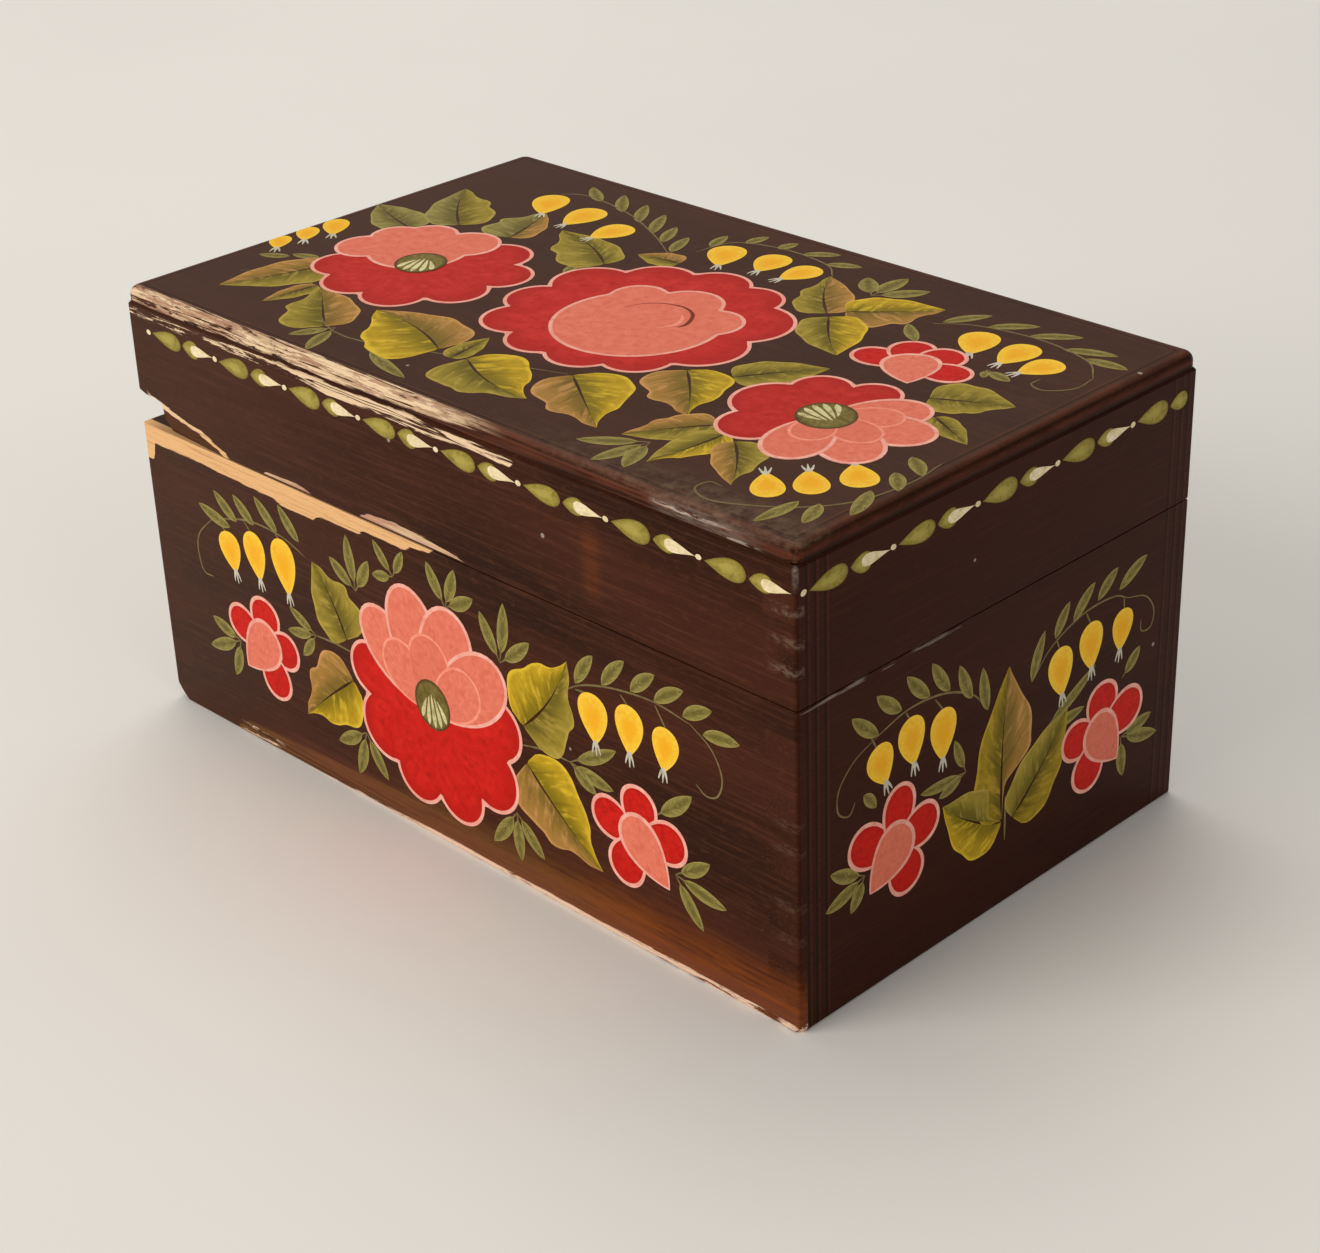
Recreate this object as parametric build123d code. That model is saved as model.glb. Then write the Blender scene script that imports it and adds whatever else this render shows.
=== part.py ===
from build123d import *
import os
from math import ceil, cos, radians, tan

# A wooden keepsake box with a deep hinged lid.
# X runs along the front, Y from front to back and Z up. The table is at Z = 0.
# All sizes are in millimetres and all angles in degrees.

# Overall sizes
box_length = 200.0
box_depth = 120.0
base_height = 71.0
lid_height = 32.7
seam_gap = 0.3

# Boards
wall_thickness = 8.0
bottom_thickness = 4.0
top_thickness = 3.7
finger_height = 6.0
arris_radius = 0.8
foot_ease = 0.6

# Moulded edge of the lid board, with a V groove where it meets the rim
top_corner_radius = 2.6
top_edge_round = 2.0
groove_chamfer = 0.5

# Hinges: two brass butt hinges let into the back wall at the seam
hinge_length = 24.0
hinge_end_distance = 36.0
leaf_thickness = 0.8
leaf_width = 5.8
leaf_let_in_clearance = 0.1
leaf_corner_radius = 0.5
pin_radius = 0.85
pin_clearance = 0.05
barrel_clearance = 0.25
knuckle_count = 3
knuckle_gap = 0.15
axis_inset = 0.8
lid_opening = 100.0
stop_clearance = 0.02

# Hinge screws, countersunk through the whole leaf
screw_radius = 0.8
screw_head_radius = 1.5
screw_length = 6.0
screw_clearance = 0.05
screw_slot_width = 0.4
screw_slot_depth = 0.3
screw_leaf_edge_distance = 2.4
screw_leaf_end_distance = 5.5

# Old damage: the lid's lowest front finger is broken off at the left, a splinter is gone
# from the edge beside it, and the base's front corners are worn.
break_length = 9.2
break_height = 8.2
break_outline_shares = [(0.0, 1.0), (0.32, 0.89), (0.94, 0.83), (1.0, 0.54), (1.1, 0.0)]
splinter_length = 20.0
splinter_height = 3.0
splinter_depth = 1.2
splinter_end_share = 0.05
left_foot_wear = 5.0
right_foot_wear = 2.0

# Reach of a cutting tool past the surface it starts from
overrun = 2.0

# Heights worked out from the sizes above
seam_z = base_height
base_rim_z = seam_z - seam_gap / 2
lid_rim_z = seam_z + seam_gap / 2
lid_top_z = base_height + lid_height
board_z = lid_top_z - top_thickness

# Plan positions. The box and its hinge barrels together are centred on the origin.
barrel_radius = pin_radius + pin_clearance + leaf_thickness
barrel_stand_out = max(barrel_radius - axis_inset, 0.0)
wood_centre_y = -barrel_stand_out / 2
left_x = -box_length / 2
right_x = box_length / 2
front_y = wood_centre_y - box_depth / 2
back_y = wood_centre_y + box_depth / 2
axis_y = back_y - axis_inset
hinge_centres = {"left": left_x + hinge_end_distance, "right": right_x - hinge_end_distance}


def block(x_low, x_high, y_low, y_high, z_low, z_high):
    """A plain block between two corners."""
    size = (x_high - x_low, y_high - y_low, z_high - z_low)
    middle = ((x_low + x_high) / 2, (y_low + y_high) / 2, (z_low + z_high) / 2)
    return Pos(*middle) * Box(*size)


def rod(centre_x, length, radius):
    """A cylinder along the hinge axis."""
    return Pos(centre_x, axis_y, seam_z) * Rot(0, 90, 0) * Cylinder(radius, length)


def flipped_at_seam(solid):
    """The mirror image of a solid in the plane of the seam."""
    return mirror(solid, about=Plane.XY.offset(seam_z))


def hinge_bevel():
    """The wedge planed off the base's back edge, on which the open lid stops."""
    reach = axis_inset + overrun
    drop = reach * tan(radians(lid_opening / 2))
    relief = stop_clearance / cos(radians(lid_opening / 2))
    outline = Polyline(
        (axis_y, seam_z + overrun),
        (axis_y, seam_z - relief),
        (axis_y + reach, seam_z - drop - relief),
        (axis_y + reach, seam_z + overrun),
        close=True,
    )
    return extrude(Plane.YZ * make_face(outline), amount=box_length / 2 + overrun, both=True)


def hinge_let_in(centre_x):
    """The pocket for a base leaf and the round relief for its barrel."""
    half = hinge_length / 2 + leaf_let_in_clearance
    pocket = block(
        centre_x - half,
        centre_x + half,
        axis_y - leaf_width - leaf_let_in_clearance,
        axis_y,
        base_rim_z - leaf_thickness,
        seam_z + overrun,
    )
    return pocket + rod(centre_x, 2 * half, barrel_radius + barrel_clearance)


def screw_places(centre_x):
    """Plan positions of one leaf's screws."""
    half = hinge_length / 2 - screw_leaf_end_distance
    y = axis_y - leaf_width + screw_leaf_edge_distance
    return [(centre_x - half, y), (centre_x + half, y)]


def base_screw(place):
    """A countersunk, slotted screw driven down into the base, with a plain shank."""
    outline = Polyline(
        (0, 0),
        (screw_head_radius, 0),
        (screw_radius, -leaf_thickness),
        (screw_radius, -screw_length),
        (0, -screw_length),
        close=True,
    )
    screw = revolve(Plane.XZ * make_face(outline), axis=Axis.Z)
    slot = Box(2 * screw_head_radius + overrun, screw_slot_width, 2 * screw_slot_depth)
    return Pos(place[0], place[1], base_rim_z) * (screw - slot)


def leaf_screw_hole(place):
    """The countersunk hole for a screw in a base leaf."""
    low_radius = screw_radius + screw_clearance
    high_radius = screw_head_radius + screw_clearance
    cone = Cone(low_radius, high_radius, leaf_thickness)
    return Pos(place[0], place[1], base_rim_z - leaf_thickness / 2) * cone


def wood_screw_hole(place):
    """The straight hole for a screw in the base's back wall."""
    depth = screw_length + screw_clearance
    hole = Pos(0, 0, -depth / 2) * Cylinder(screw_radius + screw_clearance, depth)
    return Pos(place[0], place[1], base_rim_z) * hole


def hinge_cuts():
    """Everything cut from the base frame for its hinges. The lid's cuts mirror it."""
    cuts = hinge_bevel()
    for centre_x in hinge_centres.values():
        cuts = cuts + hinge_let_in(centre_x)
        for place in screw_places(centre_x):
            cuts = cuts + wood_screw_hole(place)
    return cuts


def frame_ring(z_low, z_high):
    """Four walls in one, with eased outer corners, before they are parted into boards."""
    outer = RectangleRounded(box_length, box_depth, arris_radius)
    inner = Rectangle(box_length - 2 * wall_thickness, box_depth - 2 * wall_thickness)
    return Pos(0, wood_centre_y, z_low) * extrude(outer - inner, amount=z_high - z_low)


def finger_rows(z_low, z_high):
    """Low and high edge of each finger: an odd number, all alike, over the height."""
    height = z_high - z_low
    count = 2 * max(1, ceil(height / finger_height / 2 - 1)) + 1
    step = height / count
    return [(z_low + i * step, z_low + (i + 1) * step) for i in range(count)]


def long_wall_space(y_low, z_low, z_high):
    """The space of the front or back wall: its fingers are the odd rows from the bottom."""
    y_high = y_low + wall_thickness
    space = block(left_x + wall_thickness, right_x - wall_thickness, y_low, y_high, z_low, z_high)
    for low, high in finger_rows(z_low, z_high)[::2]:
        space = space + block(left_x, right_x, y_low, y_high, low, high)
    return space


def short_wall_space(x_low, z_low, z_high):
    """The space of an end wall: its fingers fill the rows between the long wall's."""
    x_high = x_low + wall_thickness
    space = block(x_low, x_high, front_y + wall_thickness, back_y - wall_thickness, z_low, z_high)
    for low, high in finger_rows(z_low, z_high)[1::2]:
        space = space + block(x_low, x_high, front_y, back_y, low, high)
    return space


def parted_walls(ring, z_low, z_high):
    """The ring cut into its four finger-jointed boards."""
    return {
        "front": ring & long_wall_space(front_y, z_low, z_high),
        "back": ring & long_wall_space(back_y - wall_thickness, z_low, z_high),
        "left": ring & short_wall_space(left_x, z_low, z_high),
        "right": ring & short_wall_space(right_x - wall_thickness, z_low, z_high),
    }


def worn_corner(x, x_sign, wear):
    """What is worn off a front bottom corner, which is left as a patch of a large ball."""
    corner = Vector(x, front_y, 0)
    inward = Vector(-x_sign, 1, 1)
    size = wear + overrun
    tip = Pos(*(corner + inward * (wear - size / 2))) * Box(size, size, size)
    ball = Pos(*(corner + inward * (2 * wear))) * Sphere(3 * wear)
    return tip - ball


def foot_wear():
    """Both worn front corners of the base."""
    return worn_corner(left_x, -1, left_foot_wear) + worn_corner(right_x, 1, right_foot_wear)


def base_walls():
    ring = frame_ring(bottom_thickness, base_rim_z) - hinge_cuts() - foot_wear()
    return parted_walls(ring, bottom_thickness, base_rim_z)


def bottom_board():
    outline = RectangleRounded(box_length, box_depth, arris_radius)
    board = Pos(0, wood_centre_y, 0) * extrude(outline, amount=bottom_thickness)
    edges = board.faces().sort_by(Axis.Z)[0].edges()
    return fillet(edges, foot_ease) - foot_wear()


def lid_break():
    """The gap left by the broken finger, ragged on its upper side."""
    ragged = [
        (left_x + along * break_length, lid_rim_z + up * break_height)
        for along, up in break_outline_shares
    ]
    outline = Polyline(
        (left_x - overrun, lid_rim_z - overrun),
        (left_x - overrun, ragged[0][1]),
        *ragged,
        (ragged[-1][0], lid_rim_z - overrun),
        close=True,
    )
    front = Plane(origin=(0, front_y - overrun, 0), x_dir=(1, 0, 0), z_dir=(0, -1, 0))
    return extrude(front * make_face(outline), amount=-wall_thickness - overrun)


def splinter_section(x, share):
    """The splinter's three-sided section at one place along the edge."""
    height = share * splinter_height
    depth = share * splinter_depth
    slope = splinter_height / splinter_depth
    outline = Polyline(
        (front_y - overrun, lid_rim_z + height + overrun * slope),
        (front_y + depth + overrun / slope, lid_rim_z - overrun),
        (front_y - overrun, lid_rim_z - overrun),
        close=True,
    )
    return Plane(origin=(x, 0, 0), x_dir=(0, 1, 0), z_dir=(1, 0, 0)) * make_face(outline)


def lid_splinter():
    """What is gone from the lid's lower front edge, from the break until it runs out."""
    start = left_x + break_length
    end = start + splinter_length
    return loft([splinter_section(start, 1.0), splinter_section(end, splinter_end_share)])


def lid_walls():
    ring = frame_ring(lid_rim_z, board_z)
    outer_edges = ring.faces().sort_by(Axis.Z)[-1].outer_wire().edges()
    ring = chamfer(outer_edges, groove_chamfer)
    ring = ring - flipped_at_seam(hinge_cuts()) - lid_break()
    return parted_walls(ring, lid_rim_z, board_z)


def lid_board():
    outline = RectangleRounded(box_length, box_depth, top_corner_radius)
    board = Pos(0, wood_centre_y, board_z) * extrude(outline, amount=top_thickness)
    board = fillet(board.faces().sort_by(Axis.Z)[-1].edges(), top_edge_round)
    return chamfer(board.faces().sort_by(Axis.Z)[0].edges(), groove_chamfer)


def knuckle_spans(centre_x):
    """Low and high X of each knuckle along one hinge."""
    pitch = hinge_length / knuckle_count
    start = centre_x - hinge_length / 2
    half_gap = knuckle_gap / 2
    spans = []
    for i in range(knuckle_count):
        low = start + i * pitch + (half_gap if i > 0 else 0)
        high = start + (i + 1) * pitch - (half_gap if i < knuckle_count - 1 else 0)
        spans.append((low, high))
    return spans


def hinge_leaf(centre_x, own_rows, other_rows):
    """A leaf in the base's place: a plate rolled into knuckles round the pin."""
    half = hinge_length / 2
    plate = block(
        centre_x - half,
        centre_x + half,
        axis_y - leaf_width,
        axis_y,
        base_rim_z - leaf_thickness,
        base_rim_z,
    )
    far_edges = plate.edges().filter_by(Axis.Z).group_by(Axis.Y)[0]
    leaf = fillet(far_edges, leaf_corner_radius)
    spans = knuckle_spans(centre_x)
    notch_depth = barrel_radius + barrel_clearance
    for low, high in spans[other_rows]:
        leaf = leaf - block(
            low - knuckle_gap,
            high + knuckle_gap,
            axis_y - notch_depth,
            axis_y + overrun,
            base_rim_z - leaf_thickness - overrun,
            base_rim_z + overrun,
        )
    for low, high in spans[own_rows]:
        leaf = leaf + rod((low + high) / 2, high - low, barrel_radius)
    leaf = leaf - rod(centre_x, hinge_length + overrun, pin_radius + pin_clearance)
    for place in screw_places(centre_x):
        leaf = leaf - leaf_screw_hole(place)
    return leaf


def base_leaf(centre_x):
    return hinge_leaf(centre_x, slice(0, None, 2), slice(1, None, 2))


def lid_leaf(centre_x):
    return flipped_at_seam(hinge_leaf(centre_x, slice(1, None, 2), slice(0, None, 2)))


def hinge_pin(centre_x):
    """A plain pin as long as the barrel."""
    return rod(centre_x, hinge_length, pin_radius)


def hinge_screws():
    """Every screw of the base leaves, as one group."""
    screws = []
    for centre_x in hinge_centres.values():
        screws += [base_screw(place) for place in screw_places(centre_x)]
    return screws


def all_parts():
    parts = {"base_bottom_board": bottom_board(), "lid_top_board": lid_board()}
    for side, board in base_walls().items():
        parts[f"base_{side}_panel"] = board
    for side, board in lid_walls().items():
        parts[f"lid_{side}_rim"] = board
    parts["lid_front_rim"] = parts["lid_front_rim"] - lid_splinter()
    for side, centre_x in hinge_centres.items():
        parts[f"hinge_{side}_base_leaf"] = base_leaf(centre_x)
        parts[f"hinge_{side}_lid_leaf"] = lid_leaf(centre_x)
        parts[f"hinge_{side}_pin"] = hinge_pin(centre_x)
    screws = hinge_screws()
    parts["base_hinge_screws"] = Compound(children=screws)
    parts["lid_hinge_screws"] = Compound(children=[flipped_at_seam(screw) for screw in screws])
    return parts


if __name__ == "__main__":
    os.makedirs("parts", exist_ok=True)
    for name, shape in all_parts().items():
        export_step(shape, f"parts/{name}.step")
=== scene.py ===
import random
from math import ceil, cos, pi, radians, sin

import bpy
from mathutils import Matrix, Vector


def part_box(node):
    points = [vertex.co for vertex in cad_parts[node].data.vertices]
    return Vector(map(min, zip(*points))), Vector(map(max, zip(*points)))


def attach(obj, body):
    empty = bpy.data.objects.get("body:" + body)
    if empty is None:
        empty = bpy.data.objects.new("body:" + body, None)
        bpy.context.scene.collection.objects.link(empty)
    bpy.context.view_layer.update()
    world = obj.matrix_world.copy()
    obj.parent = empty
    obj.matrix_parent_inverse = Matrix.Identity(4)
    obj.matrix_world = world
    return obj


# The looks of a lacquered keepsake box: its wood, brass and painted flower ornament.
# Places on the box are in millimetres, and everything that Blender gets is in metres.
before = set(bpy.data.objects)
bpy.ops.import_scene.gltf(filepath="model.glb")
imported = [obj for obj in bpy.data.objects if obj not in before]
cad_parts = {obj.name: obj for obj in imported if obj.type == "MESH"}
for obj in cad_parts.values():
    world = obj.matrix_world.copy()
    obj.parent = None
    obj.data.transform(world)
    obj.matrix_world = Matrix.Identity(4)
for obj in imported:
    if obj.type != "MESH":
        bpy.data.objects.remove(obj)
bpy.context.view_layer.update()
random.seed(7)

MM = 0.001


def corners(node):
    """A node's lowest and highest corners at rest, in millimetres."""
    return [[value / MM for value in corner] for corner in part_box(node)]


# Sizes read from the frame
(left_x, front_y, _), (right_x, inner_front_y, base_rim_z) = corners("base_front_panel")
(_, inner_back_y, _), (_, back_y, _) = corners("base_back_panel")
inner_left_x = corners("base_left_panel")[1][0]
inner_floor_z = corners("base_bottom_board")[1][2]
lid_rim_z = corners("lid_right_rim")[0][2]
board_z, top_z = [corner[2] for corner in corners("lid_top_board")]
floor_z = 0.0
length = right_x - left_x
depth = back_y - front_y
seam_z = (base_rim_z + lid_rim_z) / 2
top_edge_round = 2.0

# Paint: a stroke's top stands by its layer, and a little higher the later it is painted
layer_step = 0.012
stroke_step = 0.07
strokes_in_turn = 13
outline_width = 0.85
inner_outline_width = 0.6
least_width = 0.04
petal_segments = 36
drop_segments = 24
lobed_segments = 156
fill_rings = (0.3, 0.6, 0.82, 0.94, 1.0)

# Camera, from a fit to the box's corners in the photograph
camera_place = (382.0, -366.8, 309.1)
camera_target = (6.35, -3.03, 32.9)
camera_roll = -2.11
camera_lens = 73.04
sensor_width = 36.0

# Lamps: place and size in metres, watts and tint
lamps = {
    "window": ((-0.7, 0.5, 1.5), (1.4, 1.2), 11.0, "fffaf2"),
    "front_fill": ((-0.7, -2.1, 1.12), (1.8, 1.4), 37.2, "fff8f0"),
    "right_fill": ((1.5, -0.2, 0.8), (0.8, 0.8), 2.5, "fff8f0"),
}
lamp_target = (0, 0, 0.05)
world_strength = 0.4
floor_reach = 6.0


# Colours

def colour(code):
    """A colour from its usual six hex digits, as the shader's own linear numbers."""
    values = [int(code[i:i + 2], 16) / 255 for i in (0, 2, 4)]
    linear = [v / 12.92 if v <= 0.04045 else ((v + 0.055) / 1.055) ** 2.4 for v in values]
    return (*linear, 1.0)


# Black lacquer for the joint lines, and painted shade round the moulded edge
lacquer_black_and_shade = colour("1a0b06")
lacquer_dark = colour("2b130a")
lacquer_mid = colour("422014")
# Painted shade for both ends of the box
lacquer_end_shade = colour("321006")
lacquer_light = colour("5f3522")
# Grey lacquer to the left, and painted sheen on the top
lacquer_grey_and_sheen = colour("4a3126")
lacquer_amber = colour("8e4814")
lacquer_gold = colour("845c28")
# Rubbed lacquer, and painted highlight round the moulded edge
rub_and_highlight_brown = colour("6e3c2a")
# Painted sheen on the top near its front edge
sheen_grey = colour("7d6450")
bare_pale = colour("ecd0ac")
bare_warm = colour("e9b983")
bare_pink = colour("bf917a")
bare_cream = colour("dcbd98")
bare_shade = colour("94633c")
foot_pale = colour("f0ccb2")
old_break = colour("553523")
break_shade = colour("3a2215")
joint_pale = colour("a08878")
# Scuffs, and a painted highlight on the lid's front corner
scuff_and_highlight_white = colour("cbbfb2")
stain_dark = colour("6b4024")
stain_light = colour("8a5833")
brass_tarnish = colour("6d4f22")
floor_grey = colour("e6e5e2")
floor_white = colour("efeeeb")
studio_white = colour("f3efe9")
warm_sheen = colour("ffe6d0")


# Shader nodes

class Field:
    """A number, colour or place that varies over a surface: one node's output. Arithmetic with
    fields adds nodes. A mask is a field from 0 to 1, and | gives the greater of two."""

    def __init__(self, shader, socket):
        self.shader = shader
        self.socket = socket

    def __add__(self, other):
        return self.shader.maths("ADD", self, other)

    def __sub__(self, other):
        return self.shader.maths("SUBTRACT", self, other)

    def __rsub__(self, other):
        return self.shader.maths("SUBTRACT", other, self)

    def __mul__(self, other):
        return self.shader.maths("MULTIPLY", self, other)

    def __or__(self, other):
        return self.shader.maths("MAXIMUM", self, other)

    def __abs__(self):
        return self.shader.maths("ABSOLUTE", self)

    def fraction(self):
        return self.shader.maths("FRACT", self)

    def parts(self):
        node = self.shader.node("ShaderNodeSeparateXYZ", Vector=self)
        return [Field(self.shader, output) for output in node.outputs]

    def noise(self, stretch=None, scale=1.0, detail=3.0, rough=0.5):
        """Cloudy noise at this place, whose axes are stretched first if a stretch is given."""
        place = self
        if stretch:
            node = self.shader.node("ShaderNodeVectorMath", {"operation": "MULTIPLY"})
            self.shader.put(node.inputs[0], self)
            node.inputs[1].default_value = stretch
            place = Field(self.shader, node.outputs[0])
        node = self.shader.node(
            "ShaderNodeTexNoise", Vector=place, Scale=scale, Detail=detail, Roughness=rough
        )
        return Field(self.shader, node.outputs["Fac"])

    def step(self, low, high):
        """0 below low and 1 above high, with a smooth rise between. Low may be the greater."""
        node = self.shader.node(
            "ShaderNodeMapRange", {"interpolation_type": "SMOOTHSTEP", "clamp": True},
            Value=self, From_Min=low, From_Max=high,
        )
        return Field(self.shader, node.outputs["Result"])

    def near(self, place, far, close):
        """1 within the close distance of a place, and 0 beyond the far one."""
        return abs(self - place).step(far, close)

    def near_any(self, places, far, close):
        made = self.near(places[0], far, close)
        for place in places[1:]:
            made = made | self.near(place, far, close)
        return made

    def within(self, first, last, fade):
        """1 from first to last, with a soft end at each."""
        return self.step(first - fade, first + fade) * self.step(last + fade, last - fade)

    def profile(self, low, high, points):
        """A height that follows this field: points are (place, height), joined by straight runs."""
        heights = [height for _, height in points]
        bottom = min(heights)
        span = max(heights) - bottom
        share = self.shader.node(
            "ShaderNodeMapRange", {"clamp": True}, Value=self, From_Min=low, From_Max=high
        )
        node = self.shader.node("ShaderNodeFloatCurve", Value=Field(self.shader, share.outputs["Result"]))
        curve = node.mapping.curves[0]
        while len(curve.points) < len(points):
            curve.points.new(0.5, 0.5)
        for point, (at, height) in zip(curve.points, points):
            point.location = ((at - low) / (high - low), (height - bottom) / span)
            point.handle_type = "VECTOR"
        node.mapping.update()
        return Field(self.shader, node.outputs[0]) * span + bottom


class Shader:
    """A material's node tree, with short calls for the nodes that the materials here use."""

    node_gap = (-220, -180)
    nodes_in_row = 12

    def __init__(self, name):
        self.material = bpy.data.materials.new(name)
        self.material.use_nodes = True
        self.tree = self.material.node_tree
        self.surface = self.tree.nodes["Principled BSDF"]

    def node(self, kind, settings=None, **inputs):
        """Adds a node with its settings, and its inputs by name with _ for each space."""
        row, column = divmod(len(self.tree.nodes), self.nodes_in_row)
        made = self.tree.nodes.new(kind)
        made.location = (self.node_gap[0] * (column + 2), self.node_gap[1] * row)
        for name, value in (settings or {}).items():
            setattr(made, name, value)
        for name, value in inputs.items():
            self.put(made.inputs[name.replace("_", " ")], value)
        return made

    def put(self, socket, value):
        """Sets a socket to a number or colour, or links a field to it."""
        if isinstance(value, Field):
            self.tree.links.new(value.socket, socket)
        else:
            socket.default_value = value

    def maths(self, operation, *values):
        made = self.node("ShaderNodeMath", {"operation": operation})
        for socket, value in zip(made.inputs, values):
            self.put(socket, value)
        return Field(self, made.outputs[0])

    def place_mm(self):
        """Object coordinates in millimetres."""
        coordinates = self.node("ShaderNodeTexCoord").outputs["Object"]
        made = self.node("ShaderNodeVectorMath", {"operation": "SCALE"}, Scale=1 / MM)
        self.put(made.inputs[0], Field(self, coordinates))
        return Field(self, made.outputs[0])

    def stroke(self):
        """The map that each stroke of paint carries: x runs with the brush or round the stroke, and
        y goes from its middle or spine to its edge. The tone is one number for each stroke."""
        place = self.node("ShaderNodeUVMap", {"uv_map": "stroke"}).outputs[0]
        tone = self.node("ShaderNodeAttribute", {"attribute_name": "tone"}).outputs["Fac"]
        return Field(self, place), Field(self, tone)

    def layered(self, base, *layers):
        """A base colour with others laid over it in turn: each layer is (share, colour)."""
        for share, tone in layers:
            made = self.node("ShaderNodeMix", {"data_type": "RGBA"})
            self.put(made.inputs[0], share)
            self.put(made.inputs[6], base)
            self.put(made.inputs[7], tone)
            base = Field(self, made.outputs[2])
        return base

    def bump(self, height, strength, distance_mm):
        made = self.node("ShaderNodeBump", Strength=strength, Distance=distance_mm * MM, Height=height)
        return Field(self, made.outputs[0])

    def finish(self, base, rough, normal=None, **constants):
        self.put(self.surface.inputs["Base Color"], base)
        self.put(self.surface.inputs["Roughness"], rough)
        if normal is not None:
            self.put(self.surface.inputs["Normal"], normal)
        for name, value in constants.items():
            self.surface.inputs[name.replace("_", " ")].default_value = value
        return self.material


# Wood

# Worn places on the front: each edge is (distance from the left, height)
band_low_edge = [
    (0, 62.6), (3, 62.4), (3.6, 66.9), (22, 66.8), (47, 66.4), (50, 65.5), (61, 65.6), (63, 67.0),
    (76, 67.2), (78, 68.3), (91, 68.3), (93, 69.2), (99, 69.8), (101, 71.5), (110, 72),
]
chip_high_edge = [
    (0, 70), (42, 70.6), (46, 72.3), (56, 72.6), (62, 71.2), (68, 70), (75, 70.4), (80, 72.6),
    (88, 73.6), (98, 73.2), (106, 72.4), (114, 71),
]
break_line = [(0, 81), (5, 78.2), (9, 77.0), (16, 75.6), (22, 74.6), (29, 72.4), (33, 70.8), (36, 69)]
ridge_low_edge = [
    (0, 97.2), (12, 97.6), (22, 96.6), (34, 97.8), (50, 97.1), (58, 97.9), (70, 96.6), (84, 97.4),
    (98, 96.7), (110, 97.3), (126, 97.0), (128, 100), (134, 101),
]
ridge_high_edge = [
    (0, 99.2), (20, 98.8), (40, 99.3), (60, 99.5), (98, 99.6), (104, 99.0), (118, 99.2), (126, 98.8),
    (128, 98), (134, 96),
]
top_strip_edge = [(0, 100.4), (50, 100.5), (70, 100.3), (96, 101.2), (112, 101.9), (126, 102.6), (134, 105)]
foot_band_edge = [(0, 0), (22, 0), (28, 3.4), (60, 5.4), (82, 6.6), (101, 6.8), (120, 4), (135, 0)]
before_left = -9
band_end = 100.6
ridge_end = 127
top_strip_end = 112
streak_middle = 147.5

# Scratches on the lid's front edge near its right corner: how far under the top, far and close
# reach, fade in, fade out, how torn, strength
scratches = [
    (1.5, (0.5, 0.12), (163, 167), (190, 176), (0.36, 0.5), 0.7),
    (3.1, (0.5, 0.15), (180, 185), (193, 189), (0.42, 0.56), 0.5),
    (1.8, (2.2, 0.2), (162, 170), (196, 178), (0.3, 0.7), 0.28),
]

# Joint lines are measured from the front or back, and each has a light line beside it
finger_patch_heights = (90.8, 84.4, 78.6, 46.2, 40.9, 28.3, 20.8)
joint_lines = (2.7, 5.0, 7.7)
light_line_offset = 0.7

# Lines round the lid's moulded edge, painted shade and rubbed lacquer with painted highlight: each is (way
# over the edge, strength)
edge_reach = 5
edge_shade_lines = [
    (-5, 0), (-3.5, 0), (-3.1, 1), (-2.8, 0.1), (-2.0, 0), (-0.2, 0.1), (0.3, 0.9), (0.9, 0.2),
    (2.2, 0), (2.9, 0.9), (5, 1),
]
edge_rub_and_highlight_lines = [
    (-5, 0), (-4.1, 0), (-3.7, 0.8), (-3.3, 0), (-2.6, 0.2), (-1.4, 0.9), (-0.3, 0.2), (0.6, 0),
    (1.5, 0.8), (2.4, 0.5), (2.9, 0), (5, 0),
]


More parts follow.
